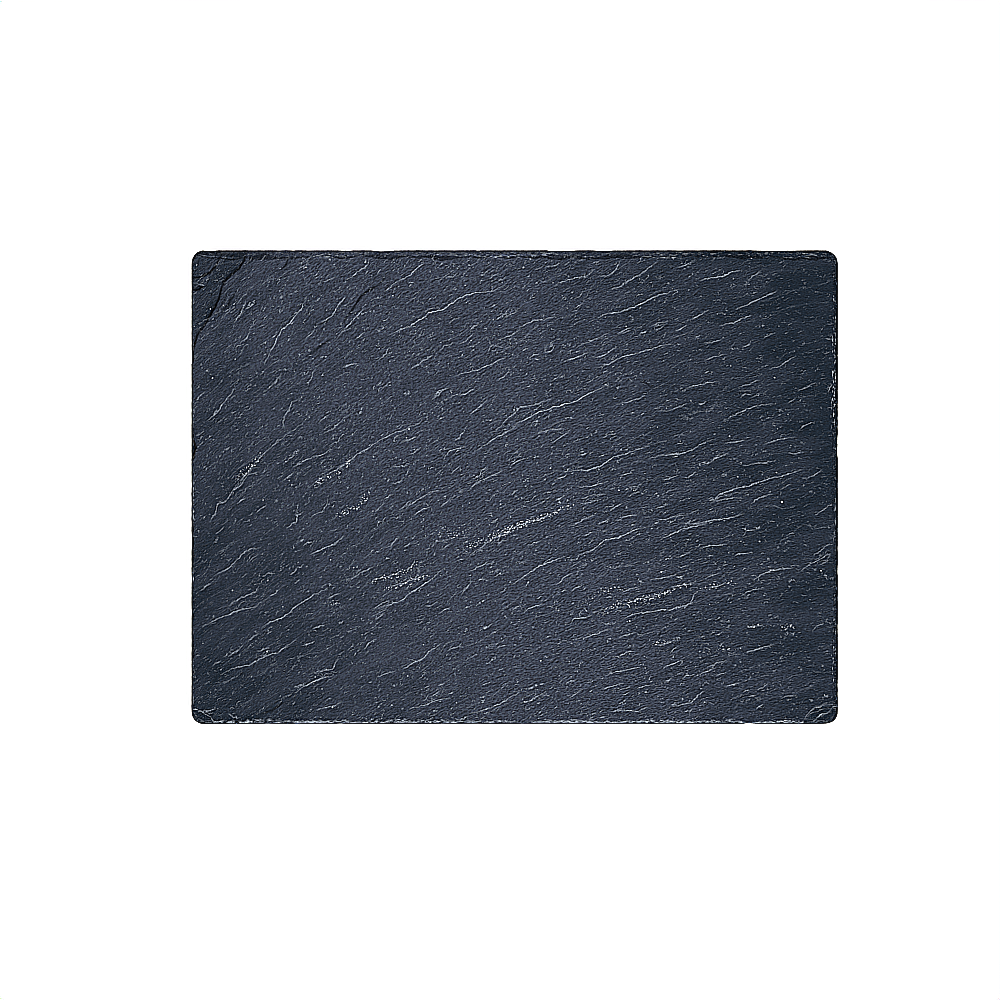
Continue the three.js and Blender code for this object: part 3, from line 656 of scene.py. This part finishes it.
def rim_path(outline, row):
    """The set-in and height of each point on the rim, by its row up the wall."""
    insets = bed_insets(outline)
    run, loop = outline.run, outline.loop
    tops = [share * THICKNESS + 0.14 * loop_noise(run, loop, 33, 90 + bed)
            for bed, share in enumerate(BED_TOPS[:-1])] + [np.full_like(run, THICKNESS)]
    inset, height = np.zeros_like(run), np.zeros_like(run)
    start = 0
    foot = np.zeros_like(run)
    for bed, rows in enumerate(RISER_ROWS):
        share = np.clip((row - start) / rows, 0, 1)
        on_riser = (row >= start) & (row <= start + rows)
        inset = np.where(on_riser, insets[bed] + BATTER * share, inset)
        height = np.where(on_riser, foot + share * (tops[bed] - foot), height)
        foot = tops[bed]
        start += rows
        if bed + 1 < len(RISER_ROWS):
            share = np.clip((row - start) / TREAD_ROWS, 0, 1)
            on_tread = (row > start) & (row < start + TREAD_ROWS)
            tread = insets[bed] + BATTER + share * (insets[bed + 1] - insets[bed] - BATTER)
            inset = np.where(on_tread, tread, inset)
            height = np.where(on_tread, tops[bed], height)
            start += TREAD_ROWS
    return inset, height


# The faces

# Ledges that follow the grain: how far apart, how long, how high, and the seed of each set
LEDGE_SIZES = [(12.5, 80, 0.22, 10), (5.2, 34, 0.13, 20), (2.3, 15, 0.06, 30)]
UNDER_SIZES = [(24, 90, 0.5, 60), (7, 40, 0.16, 70)]


def bedding(along, across, spacing, length, seed):
    """Counts the ledges of a set up to each point, and how much of the set shows there."""
    bend = 0.9 * rough(along / length, across / (2.2 * spacing), seed)
    bend += 0.3 * rough(along / (0.3 * length), across / spacing, seed + 1)
    bend += 0.1 * rough(along / (0.09 * length), across / (0.4 * spacing), seed + 2)
    fade = rough(along / (0.55 * length), across / (1.3 * spacing), seed + 3)
    return across / spacing + bend, rise(fade, -0.25, 0.6)


def ledges_along_grain(along, across, spacing, length, drop, seed):
    """The face climbs quickly at each ledge and falls away slowly to the foot of the next."""
    count, fade = bedding(along, across, spacing, length, seed)
    above = count % 1
    wall = 0.42 / spacing
    return drop * fade * np.where(above < wall, above / wall, (1 - above) / (1 - wall))


def follow(x, y, points):
    """For each point: its distance from a line, positive on the right hand of the way along it,
    and the share of the line's length that it lies beside."""
    steps = np.diff(points, axis=0)
    lengths = np.hypot(*steps.T)
    nearest, side, share = np.full_like(x, 1e9), np.zeros_like(x), np.zeros_like(x)
    done = 0.0
    for (ax, ay), (dx, dy), length in zip(points[:-1], steps, lengths):
        t = np.clip(((x - ax) * dx + (y - ay) * dy) / length**2, 0, 1)
        gap = np.hypot(x - ax - t * dx, y - ay - t * dy)
        closer = gap < nearest
        nearest = np.where(closer, gap, nearest)
        side = np.where(closer, (x - ax) * dy - (y - ay) * dx, side)
        share = np.where(closer, (done + t * length) / lengths.sum(), share)
        done += length
    return np.where(side > 0, nearest, -nearest), share


def bent(x, y, seed):
    """The way a ledge strays from the straight lines between its points."""
    x = x + 0.25 * rough(x / 1.7, y / 1.7, seed) + 0.3 * rough(x / 5, y / 5, seed + 1)
    return x, y + 0.25 * rough(x / 1.7, y / 1.7, seed + 2) + 0.3 * rough(x / 5, y / 5, seed + 3)


# How far to each side of a ledge its marks are looked for
LEDGE_REACH = 9.0


def ledges_on(x, y):
    """For each point: how far the ledges lower it, how far below the nearest one it is, and how
    strongly that one shows there, which is negative where it faces away from the light."""
    lowered = np.zeros_like(x)
    closest, shows = np.full_like(x, LEDGE_REACH), np.zeros_like(x)
    for i, (drop, points) in enumerate(LEDGES):
        least, most = np.min(points, axis=0) - LEDGE_REACH, np.max(points, axis=0) + LEDGE_REACH
        near = (x > least[0]) & (x < most[0]) & (y > least[1]) & (y < most[1])
        length = np.hypot(*np.diff(points, axis=0).T).sum()
        below, share = follow(*bent(x[near], y[near], 100 + 4 * i), points)
        swell = np.sqrt(np.clip(np.sin(math.pi * share), 0, 1))
        wall = rise(below, -0.22, 0.22)
        run_out = (2.0 + 0.1 * length) * (0.4 + swell)
        slope = np.clip(1 - below / run_out, 0, 1)
        lowered[near] += drop * swell * wall * slope**1.5
        # ledges that face the light are painted with a pale highlight, those that face away with a
        # painted shade line
        lit = 1 if points[-1][0] > points[0][0] else -1
        closer = np.abs(below) < np.abs(closest[near])
        closest[near] = np.where(closer, below, closest[near])
        shows[near] = np.where(closer, lit * swell * min(1, 0.3 + drop), shows[near])
    return lowered, closest, shows


def by_flakes(x, y, below, shows):
    """The same two values with the ledges of the flakes among them, and how far each point lies
    on the floor of a flake."""
    floor = np.zeros_like(x)
    for _, points in FLAKES:
        depth = inside(x, y, points)
        slope_x, slope_y = inside(x + 0.1, y, points) - depth, inside(x, y + 0.1, points) - depth
        # flake ledges that face the light get a painted highlight, those that face away a heavier
        # painted shade line
        lit = 0.47 * slope_x - 0.88 * slope_y > 0
        strength = np.clip(0.75 + 0.9 * rough(x / 7, y / 7, 33), 0, 1.2)
        closer = np.abs(depth) < np.abs(below)
        below = np.where(closer, depth, below)
        shows = np.where(closer, np.where(lit, 0.6, -1.4) * strength, shows)
        floor = np.maximum(floor, rise(depth, 0, 1))
    return below, shows, floor


def veins_on(x, y):
    """How dense the pale grains are at each point."""
    dense = np.zeros_like(x)
    for i, (half_width, most, points) in enumerate(VEINS):
        gap, share = follow(*bent(x, y, 600 + 4 * i), points)
        swell = np.sqrt(np.clip(np.sin(math.pi * (0.06 + 0.88 * share)), 0, 1))
        core = rise(half_width * 1.6 - np.abs(gap), 0, half_width)
        dense = np.maximum(dense, most * core * swell)
    return dense


def inside(x, y, points):
    """Signed distance to a closed outline: positive inside it."""
    points = np.array(points, float)
    nearest, crossings = np.full_like(x, 1e9), np.zeros(len(x), bool)
    for (ax, ay), (bx, by) in zip(points, np.roll(points, -1, axis=0)):
        dx, dy = bx - ax, by - ay
        t = np.clip(((x - ax) * dx + (y - ay) * dy) / (dx * dx + dy * dy), 0, 1)
        nearest = np.minimum(nearest, np.hypot(x - ax - t * dx, y - ay - t * dy))
        spans = (ay > y) != (by > y)
        with np.errstate(divide="ignore", invalid="ignore"):
            left = x < ax + (y - ay) * dx / dy
        crossings ^= spans & left
    return np.where(crossings, nearest, -nearest)


def riven_face(x, y):
    """The height of the split face below the top of the slab."""
    along, across = along_grain(x, y)
    height = 0.16 * rough(x / 75, y / 60, 1) + 0.05 * rough(along / 40, across / 14, 2)
    for sizes in LEDGE_SIZES:
        height += ledges_along_grain(along, across, *sizes)
    height += 0.018 * rough(along / 2.6, across / 1.1, 40)
    height -= ledges_on(x, y)[0]
    wander_x = x + 0.4 * rough(x / 2.3, y / 2.3, 50)
    wander_y = y + 0.4 * rough(x / 2.3, y / 2.3, 51)
    for depth, points in FLAKES:
        height -= depth * rise(inside(wander_x, wander_y, points), -0.25, 0.3)
    return height


def split_underside(x, y):
    """The height of the underside above the table: low scars in a face that is flat between."""
    along, across = along_grain(x, y)
    scars = sum(ledges_along_grain(along, across, *sizes) for sizes in UNDER_SIZES)
    return np.maximum(0, scars - 0.2)


def work_stone(slab):
    """Moves the blank's points to the shape of the stone."""
    mesh = slab.data
    points = points_of(mesh)
    row = np.round(points[:, 2]).astype(int)
    x, y = rounded(spread(points[:, 0], LENGTH), spread(points[:, 1], WIDTH))
    outline = Outline(x, y)
    inset, height = rim_path(outline, row)
    drawn_in = inset * np.clip(1 - outline.inside / CORNER_RADIUS, 0, 1)
    wall = (row > 0) & (row < RIM_ROWS)
    flutter = 0.09 * rough(outline.run / 2.1, height / 0.55, 80)
    flutter += 0.05 * rough(outline.run / 0.8, height / 0.3, 81)
    drawn_in += np.where(wall, np.maximum(flutter, -drawn_in), 0)
    x = x - outline.out_x * drawn_in
    y = y - outline.out_y * drawn_in
    under = row == 0
    height[wall] += 0.05 * rough(outline.run[wall] / 1.7, row[wall] * 0.9, 82)
    face = riven_face(x[row > 0], y[row > 0])
    slab["face_top"] = face.max()
    face -= slab["face_top"]
    # the rim follows the face where the face is low, the more so the higher up the rim it is
    height[row > 0] += face * (height[row > 0] / THICKNESS) ** 2
    height[under] = split_underside(x[under], y[under]) * rise(outline.inside[under], 2, 9)
    points = np.stack([x, y, np.clip(height, 0, THICKNESS)], axis=1)
    set_points(mesh, points * MM)


# Fewer faces where the stone is flat
MOST_TRIANGLES = 190_000

# How far in from the outline the stone is bruised on each side, and how pale its breaks are.
# The paleness is partly a painted highlight, most on the front, which faces the light, and the
# band also holds the painted shade of the gaps between the beds
RIM_WIDTHS = {"back": 3.0, "right": 2.3, "front": 1.7, "left": 0.9}
FRESHNESS_AND_LIGHT = {"back": 0.05, "right": -0.1, "front": 0.7, "left": 0.3}


# Edges that turn more than this are shaded sharp
SHARP_TURN = math.radians(38)

# The layout for baking: the margin round the unwrapped top, and the size and place of the
# underside beside it, as shares of the layout
BAKE_MARGIN = 8
UNDER_SIZE = 0.24
UNDER_PLACE = (0.3, 0.755)


def thin_out(slab):
    """Thins the mesh where the stone is flat, and shades it sharp at its ledges."""
    triangles = 2 * len(slab.data.polygons)
    if triangles > MOST_TRIANGLES:
        thin = slab.modifiers.new("fewer faces", "DECIMATE")
        thin.ratio = MOST_TRIANGLES / triangles
        bpy.ops.object.modifier_apply(modifier=thin.name)
    bpy.ops.object.shade_smooth_by_angle(angle=SHARP_TURN)


def lay_out(slab):
    """Unwraps the top and the rim as one piece, and the underside, smaller, as another."""
    mesh = slab.data
    x, y, z = (points_of(mesh) / MM).T
    outline = Outline(x, y)
    reach = below_face(slab, x, y, z) * np.clip(1 - outline.inside / CORNER_RADIUS, 0, 1)
    side = LENGTH + 2 * THICKNESS + 6
    over = np.stack([x + outline.out_x * reach + side / 2,
                     y + outline.out_y * reach + WIDTH / 2 + BAKE_MARGIN], 1)
    under = np.stack([x + LENGTH / 2, WIDTH / 2 - y], 1) * UNDER_SIZE / WIDTH + UNDER_PLACE
    corners = np.empty(len(mesh.loops), np.int32)
    mesh.loops.foreach_get("vertex_index", corners)
    facing = np.empty(3 * len(mesh.polygons), np.float32)
    mesh.polygons.foreach_get("normal", facing)
    sides = np.empty(len(mesh.polygons), np.int32)
    mesh.polygons.foreach_get("loop_total", sides)
    beneath = np.repeat(facing.reshape(-1, 3)[:, 2] < -0.5, sides)
    places = np.where(beneath[:, None], under[corners], over[corners] / side)
    mesh.uv_layers.new(name="OFBake").data.foreach_set("uv", places.astype(np.float32).ravel())


def below_face(slab, x, y, z):
    """How far below the split face each point of the rim lies."""
    return THICKNESS + riven_face(x, y) - slab["face_top"] - z


def note_grain(slab):
    """Gives each point its place in the grain and by the ledges, for the stone's own pattern and
    for the highlights and shade painted along its ledges and rim.
    """
    x, y, z = (points_of(slab.data) / MM).T
    outline = Outline(x, y)
    top = z > 1
    along, across = along_grain(x, y)
    below, shows, floor = by_flakes(x, y, *ledges_on(x, y)[1:])
    down = below_face(slab, x, y, z)
    width = 1 + 0.35 * loop_noise(outline.run, outline.loop, 9, 94)
    width *= side_by_side(outline, RIM_WIDTHS)
    band = rise(width - outline.inside, -0.2, 0.2) * (1 - 0.8 * floor)
    # the paleness of the breaks round the rim: the real paleness of broken stone, raised most on
    # the front, which faces the light, as a painted highlight
    fresh_and_lit = side_by_side(outline, FRESHNESS_AND_LIGHT) + 0.25 * loop_noise(outline.run, outline.loop, 14, 95)
    (wide, wide_fade), (close, close_fade) = (
        bedding(along, across, spacing, length, seed)
        for spacing, length, _, seed in LEDGE_SIZES[:2])
    # the ledges, flakes and veins that were read off the top aren't on the underside
    shows, floor, vein = shows * top, floor * top, veins_on(x, y) * top
    notes = {
        "grain": (along, across, z),
        "ledge": (below, shows, fresh_and_lit),
        "bedding": (wide, close, wide_fade),
        "fading": (close_fade, vein, band),
        "rim": (outline.run, outline.inside, down),
        "split": (floor, down, np.zeros_like(x)),
    }
    for name, columns in notes.items():
        note = slab.data.attributes.new(name, "FLOAT_VECTOR", "POINT")
        note.data.foreach_set("vector", np.stack(columns, 1).astype(np.float32).ravel())


# The stone

class Mix:
    """A short way to write a material's nodes."""

    def __init__(self, material):
        material.use_nodes = True
        self.tree = material.node_tree
        self.tree.nodes.clear()

    def node(self, kind, wires=None, **settings):
        made = self.tree.nodes.new(kind)
        for name, value in settings.items():
            setattr(made, name, value)
        for socket, value in (wires or {}).items():
            if isinstance(value, bpy.types.NodeSocket):
                self.tree.links.new(value, made.inputs[socket])
            else:
                made.inputs[socket].default_value = value
        return made

    def sum(self, operation, *values):
        wires = dict(enumerate(values))
        return self.node("ShaderNodeMath", wires, operation=operation).outputs[0]

    def spread(self, value, low, high, to_low=0.0, to_high=1.0, smooth=True):
        """Maps low to high of a value onto another range, and holds it there beyond."""
        wires = {"Value": value, "From Min": low, "From Max": high,
                 "To Min": to_low, "To Max": to_high}
        kind = "SMOOTHSTEP" if smooth else "LINEAR"
        return self.node("ShaderNodeMapRange", wires, interpolation_type=kind).outputs[0]

    def place(self, vector, sizes, shift=(0, 0, 0)):
        """Scales a pattern so that it is that many millimetres long, wide and deep."""
        wires = {"Vector": vector, "Location": shift, "Scale": tuple(1 / s for s in sizes)}
        return self.node("ShaderNodeMapping", wires).outputs[0]

    def noise(self, vector, detail=2.0, roughness=0.5, distortion=0.0):
        wires = {"Vector": vector, "Scale": 1.0, "Detail": detail, "Roughness": roughness,
                 "Distortion": distortion}
        return self.node("ShaderNodeTexNoise", wires).outputs[0]

    def blend(self, share, first, second, mode="MIX"):
        wires = {"Factor": share, 6: first, 7: second}
        return self.node("ShaderNodeMix", wires, data_type="RGBA", blend_type=mode).outputs[2]


def hairline(mix, grain, gap, strength, half_width, seed, least=0.0):
    """A painted highlight where the break of a ledge catches the light, and a painted shade line
    above it. The gap is in millimetres below the ledge, and the line comes and goes along it, down
    to a least share."""
    shift = (seed * 7.1, seed * 3.3, 0)
    wobble = mix.noise(mix.place(grain, (2.2, 1.6, 3), shift), 3, 0.65)
    gap = mix.sum("ADD", gap, mix.spread(wobble, 0, 1, -0.9, 0.9, False))
    flicker = mix.noise(mix.place(grain, (2.2, 1.5, 9), shift), 2, 0.6)
    strength = mix.sum("MULTIPLY", strength, mix.spread(flicker, 0.41, 0.6, least))
    bright = mix.spread(mix.sum("ABSOLUTE", gap), half_width, 0.4 * half_width)
    offset = mix.sum("ABSOLUTE", mix.sum("ADD", gap, 2.1 * half_width))
    dark = mix.spread(offset, 1.1 * half_width, 0.3 * half_width)
    return mix.sum("MULTIPLY", bright, strength), mix.sum("MULTIPLY", dark, strength)


def from_count(mix, count, spacing):
    """The gap in millimetres to the nearest ledge of a counted set."""
    nearest = mix.sum("ROUND", count)
    return mix.sum("MULTIPLY", mix.sum("SUBTRACT", nearest, count), spacing)


def fine_set(mix, grain, spacing, length, shown, seed):
    """A set of ledges too fine to model: the gap to the nearest one, and how much it shows."""
    shift = (seed * 17.3, seed * 5.1, 0)
    bend = mix.noise(mix.place(grain, (length, 2.2 * spacing, 9), shift), 3, 0.55)
    across = mix.node("ShaderNodeSeparateXYZ", {0: grain}).outputs[1]
    count = mix.sum("ADD", mix.sum("DIVIDE", across, spacing), mix.sum("MULTIPLY", bend, 4.0))
    patches = mix.place(grain, (0.5 * length, 1.4 * spacing, 9), (seed * 3.7, 40, 0))
    fade = mix.noise(patches, 2, 0.6)
    return from_count(mix, count, spacing), mix.spread(fade, shown, shown + 0.12)


PLUM_GROUND = (0.0372, 0.0462, 0.0722, 1)
BLUE_GROUND = (0.0070, 0.0148, 0.0270, 1)
SHADOWED = (0.004, 0.006, 0.010, 1)
# the pale colour of broken stone, which also paints the highlights where the ledges and the rim
# catch the light
BROKEN_AND_HIGHLIT = (0.28, 0.32, 0.38, 1)
MINERAL = (0.42, 0.46, 0.52, 1)
GLOSS = 0.12

# Ledges too fine to model: how far apart, how long, and above which noise a set shows
FINE_SETS = [(2.6, 9, 0.52, 4), (1.5, 5, 0.52, 5)]


def slate():
    """Dark blue-grey slate: mottled, streaked along the grain, paler where it has broken, with
    painted highlights and painted shade along its ledges and rim.
    """
    material = bpy.data.materials.new("slate")
    mix = Mix(material)

    def note(name):
        wires = {0: mix.node("ShaderNodeAttribute", attribute_name=name).outputs["Vector"]}
        return wires[0], mix.node("ShaderNodeSeparateXYZ", wires).outputs

    grain = note("grain")[0]
    _, (below, shows, fresh_and_lit) = note("ledge")
    rim = note("rim")[0]
    floor, down, _ = note("split")[1]
    _, (wide_count, close_count, wide_fade) = note("bedding")
    close_fade, vein, band = note("fading")[1]
    here = mix.node("ShaderNodeTexCoord").outputs["Object"]
    # the underside keeps the stone's fine grain, without the marks of the top and the rim
    height = mix.node("ShaderNodeSeparateXYZ", {0: here}).outputs[2]
    above = mix.spread(height, 0.05 * MM, 0.6 * MM)
    shows, vein, band = (mix.sum("MULTIPLY", value, above) for value in (shows, vein, band))

    # the ground colour: plum in the middle and to the left, bluer towards the right and the foot
    x, y, _ = mix.node("ShaderNodeSeparateXYZ", {0: here}).outputs
    to_right = mix.spread(mix.sum("MULTIPLY_ADD", y, 0.25, x), 0.015, 0.155, 0, 1, False)
    to_left = mix.spread(mix.sum("MULTIPLY_ADD", y, 0.42, x), -0.05, -0.175, 0, 0.85, False)
    dark = mix.sum("MAXIMUM", to_right, to_left)
    patches = mix.noise(mix.place(grain, (26, 10, 30)), 3, 0.6)
    tint = mix.sum("ADD", dark, mix.spread(patches, 0.35, 0.65, -0.18, 0.18))
    tint = mix.sum("ADD", tint, mix.sum("MULTIPLY", floor, 0.4))
    ground = mix.blend(tint, PLUM_GROUND, BLUE_GROUND)

    # grain
    streaks = mix.noise(mix.place(grain, (5, 1.1, 4)), 2, 0.5, 0.3)
    speckle = mix.noise(mix.place(grain, (1.6, 0.6, 0.8)), 0)
    mottle = mix.noise(mix.place(grain, (0.9, 0.5, 0.6), (5, 7, 3)), 0)
    tone = mix.sum("MULTIPLY", mix.spread(streaks, 0.3, 0.7, 0.86, 1.16, False),
                   mix.spread(speckle, 0.3, 0.7, 0.78, 1.26, False))
    tone = mix.sum("MULTIPLY", tone, mix.spread(mottle, 0.3, 0.7, 0.72, 1.32, False))
    calm = mix.spread(dark, 0, 1, 0.85, 0.4, False)
    # painted light: the rim band along the back lies in the shadow of its beds, and is painted up
    # to 1.9 times paler there
    back = mix.spread(y, (WIDTH / 2 - 4) * MM, (WIDTH / 2 - 2.5) * MM)
    tone = mix.sum("MULTIPLY", mix.sum("POWER", tone, calm),
                   mix.sum("MULTIPLY_ADD", mix.sum("MULTIPLY", back, band), 0.9, 1))
    shade = mix.node("ShaderNodeCombineColor", {0: tone, 1: tone, 2: tone}).outputs[0]
    ground = mix.blend(1.0, ground, shade, "MULTIPLY")

    # the breaks of the ledges, from the ones that were read off the face to the finest: pale,
    # partly as a painted highlight, with a painted shade line above each, and a wider painted shade
    # line along the read-off ledges and flakes that face away from the light
    lit = mix.sum("MAXIMUM", shows, 0)
    shaded = mix.sum("MAXIMUM", mix.sum("MULTIPLY", shows, -1.4), 0)
    bright, dark_line = hairline(mix, grain, below, lit, 0.25, 1, 0.6)
    # painted shade: a wide dark line along the ledges and flakes that face away from the light
    facing_away_shade = mix.sum("MULTIPLY", mix.spread(mix.sum("ABSOLUTE", below), 0.75, 0.2), shaded)
    for gap, fade, strength, half_width, seed in (
        (from_count(mix, wide_count, LEDGE_SIZES[0][0]), wide_fade, 0.3, 0.22, 2),
        (from_count(mix, close_count, LEDGE_SIZES[1][0]), close_fade, 0.35, 0.22, 3),
        (*fine_set(mix, grain, *FINE_SETS[0]), 0.8, 0.2, 4),
        (*fine_set(mix, grain, *FINE_SETS[1]), 0.6, 0.18, 5),
    ):
        strength = mix.spread(dark, 0, 1, strength, 0.55 * strength, False)
        strength = mix.sum("MULTIPLY", strength, fade)
        pale, black = hairline(mix, grain, gap, strength, half_width, seed)
        bright = mix.sum("MAXIMUM", bright, pale)
        dark_line = mix.sum("MAXIMUM", dark_line, black)
    dark_line = mix.sum("MAXIMUM", dark_line, facing_away_shade)

    # mineral specks, scattered and in veins
    def specks(size, chosen, least, most):
        """Round grains, one to a cell of that size, where a number drawn for the cell is chosen."""
        place = mix.place(grain, (size, size, size), (size, 2, 3))
        dots = mix.node("ShaderNodeTexVoronoi", {"Vector": place, "Scale": 1.0})
        drawn = mix.node("ShaderNodeSeparateColor", {0: dots.outputs["Color"]}).outputs
        radius = mix.spread(drawn[1], 0, 1, least, most, False)
        dot = mix.spread(mix.sum("SUBTRACT", dots.outputs["Distance"], radius), 0, -0.12)
        dot = mix.sum("MULTIPLY", dot, mix.spread(drawn[2], 0, 0.8, 0.3, 1))
        return mix.sum("MULTIPLY", dot, mix.sum("LESS_THAN", drawn[0], chosen))

    grains = mix.noise(mix.place(grain, (0.85, 0.6, 0.8), (9, 2, 4)), 1, 0.6)
    grains = mix.spread(mix.sum("ADD", grains, mix.sum("MULTIPLY", vein, 0.07)), 0.62, 0.75)
    speck = mix.sum("MAXIMUM", specks(1.5, 0.011, 0.16, 0.32),
                    mix.sum("MULTIPLY", grains, mix.spread(vein, 0.1, 0.5)))

    shadowed = mix.blend(mix.sum("MULTIPLY", dark_line, 0.6), ground, SHADOWED)
    bright = mix.sum("MULTIPLY", bright, mix.spread(dark, 0, 1, 1, 0.65, False))

    # the broken rim: painted shade in the gaps between thin beds, and freshly broken edges, pale
    # partly as a painted highlight, most on the front, which faces the light
    beds = mix.noise(mix.place(rim, (8, 0.8, 0.7)), 2, 0.55)
    gap_shade = mix.spread(mix.sum("ABSOLUTE", mix.sum("SUBTRACT", beds, 0.5)), 0.06, 0.02)
    open_here = mix.noise(mix.place(rim, (18, 30, 30), (2, 4, 6)), 1)
    open_here = mix.spread(open_here, 0.4, 0.6, 0.2, 1.3)
    gap_shade = mix.sum("MULTIPLY", mix.sum("MULTIPLY", gap_shade, band), open_here)
    dark_line = mix.sum("MAXIMUM", dark_line, gap_shade)
    broken = mix.noise(mix.place(rim, (2.6, 0.5, 0.5), (3, 5, 7)), 1, 0.6)
    broken = mix.sum("ADD", broken, mix.sum("MULTIPLY", fresh_and_lit, 0.2))
    broken = mix.sum("MULTIPLY", mix.spread(broken, 0.58, 0.68), band)
    broken = mix.sum("MULTIPLY", broken, mix.spread(down, 0.5, 3, 1, 0.45))
    bright = mix.sum("MAXIMUM", bright, broken)
    # pale breaks and painted highlights, laid over the painted shade and the ground
    breaks_and_highlights = mix.blend(bright, shadowed, BROKEN_AND_HIGHLIT)
    colour = mix.blend(speck, breaks_and_highlights, MINERAL)

    # relief and sheen
    relief = mix.sum("MULTIPLY", speckle, 0.4)
    relief = mix.sum("ADD", relief, mix.sum("MULTIPLY", mottle, 0.25))
    relief = mix.sum("ADD", relief, mix.sum("MULTIPLY", streaks, 0.15))
    relief = mix.sum("MULTIPLY", relief, mix.sum("MULTIPLY", calm, 1.5))
    bump = mix.node("ShaderNodeBump", {"Strength": 1.0, "Distance": MM, "Height": relief})
    sheen = mix.spread(speckle, 0.3, 0.7, 0.5, 0.66, False)
    stone = mix.node("ShaderNodeBsdfPrincipled", {
        "Base Color": colour, "Roughness": sheen, "Normal": bump.outputs[0],
        "Specular IOR Level": GLOSS})
    mix.node("ShaderNodeOutputMaterial", {0: stone.outputs[0]})
    return material


# The table, the light and the camera

# How brightly the table is lit from within, and the even light of the room
TABLE_GLOW = 1.08
ROOM_LIGHT = 0.15
EYE = (-0.0068, -0.0059, 2.578)
LENS = 200


def table():
    """A pale table, lit from within so that the slab throws hardly a shadow."""
    bpy.ops.mesh.primitive_plane_add(size=12, location=(0, 0, 0))
    top = bpy.context.object
    top.name = "pale_table"
    material = bpy.data.materials.new("table white")
    mix = Mix(material)
    lit = mix.node("ShaderNodeEmission", {"Color": (1, 1, 1, 1), "Strength": TABLE_GLOW}).outputs[0]
    matt = mix.node("ShaderNodeBsdfDiffuse", {"Color": (0.8, 0.8, 0.8, 1)}).outputs[0]
    mixed = mix.node("ShaderNodeMixShader", {0: 0.1, 1: lit, 2: matt}).outputs[0]
    mix.node("ShaderNodeOutputMaterial", {0: mixed})
    top.data.materials.append(material)


def sun(name, azimuth, elevation, strength, softness):
    """Light from a side: azimuth 0 is from the right of the slab, 90 from behind it."""
    bpy.ops.object.light_add(type="SUN")
    light = bpy.context.object
    light.name = name
    light.rotation_euler = (0, math.radians(90 - elevation), math.radians(azimuth))
    light.data.energy = strength
    light.data.angle = math.radians(softness)


def lights():
    sun("key", -62, 28, 3.6, 8)
    sun("fill", 130, 60, 1.5, 60)
    world = bpy.data.worlds.new("studio")
    bpy.context.scene.world = world
    world.use_nodes = True
    world.node_tree.nodes["Background"].inputs["Color"].default_value = (1, 1, 1, 1)
    world.node_tree.nodes["Background"].inputs["Strength"].default_value = ROOM_LIGHT
    bpy.context.scene.view_settings.view_transform = "Standard"


def camera():
    """Straight above the slab, which sits a little to the right of the picture's middle."""
    bpy.ops.object.camera_add(location=EYE)
    eye = bpy.context.object
    eye.data.lens = LENS
    eye.data.sensor_width = 36
    bpy.context.scene.camera = eye


# How far the picture is sharpened, the least share of a tone that this may leave, and the gamma
# of the tones that the eye sees as even
SHARPENING = 0.5
DARKEST_HALO = 0.3
EYE_GAMMA = 2.2


def finish_picture():
    """Sharpens the picture, in the evenly graded tones that the eye sees, and keeps the dark
    fringe that this leaves along the outline from going below a share of the tone there."""
    scene = bpy.context.scene
    scene.use_nodes = True
    tree = scene.node_tree
    tree.nodes.clear()
    kinds = ["RLayers", "Gamma", "Filter", "MixRGB", "MixRGB", "Gamma", "Composite"]
    seen, to_eye, crisp, least, limit, back, done = (
        tree.nodes.new("CompositorNode" + kind) for kind in kinds)
    to_eye.inputs["Gamma"].default_value = 1 / EYE_GAMMA
    crisp.filter_type = "SHARPEN"
    crisp.inputs["Fac"].default_value = SHARPENING
    least.blend_type = "MULTIPLY"
    least.inputs[2].default_value = (DARKEST_HALO, DARKEST_HALO, DARKEST_HALO, 1)
    limit.blend_type = "LIGHTEN"
    back.inputs["Gamma"].default_value = EYE_GAMMA
    for first, second, socket in [
        (seen, to_eye, "Image"), (to_eye, crisp, "Image"), (to_eye, least, 1),
        (crisp, limit, 1), (least, limit, 2), (limit, back, "Image"), (back, done, "Image"),
    ]:
        tree.links.new(first.outputs[0], second.inputs[socket])


camera()
lights()
table()
finish_picture()
slab = blank_slab()
work_stone(slab)
thin_out(slab)
lay_out(slab)
note_grain(slab)
slab.data.materials.append(slate())
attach(slab, "root")
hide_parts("slab")
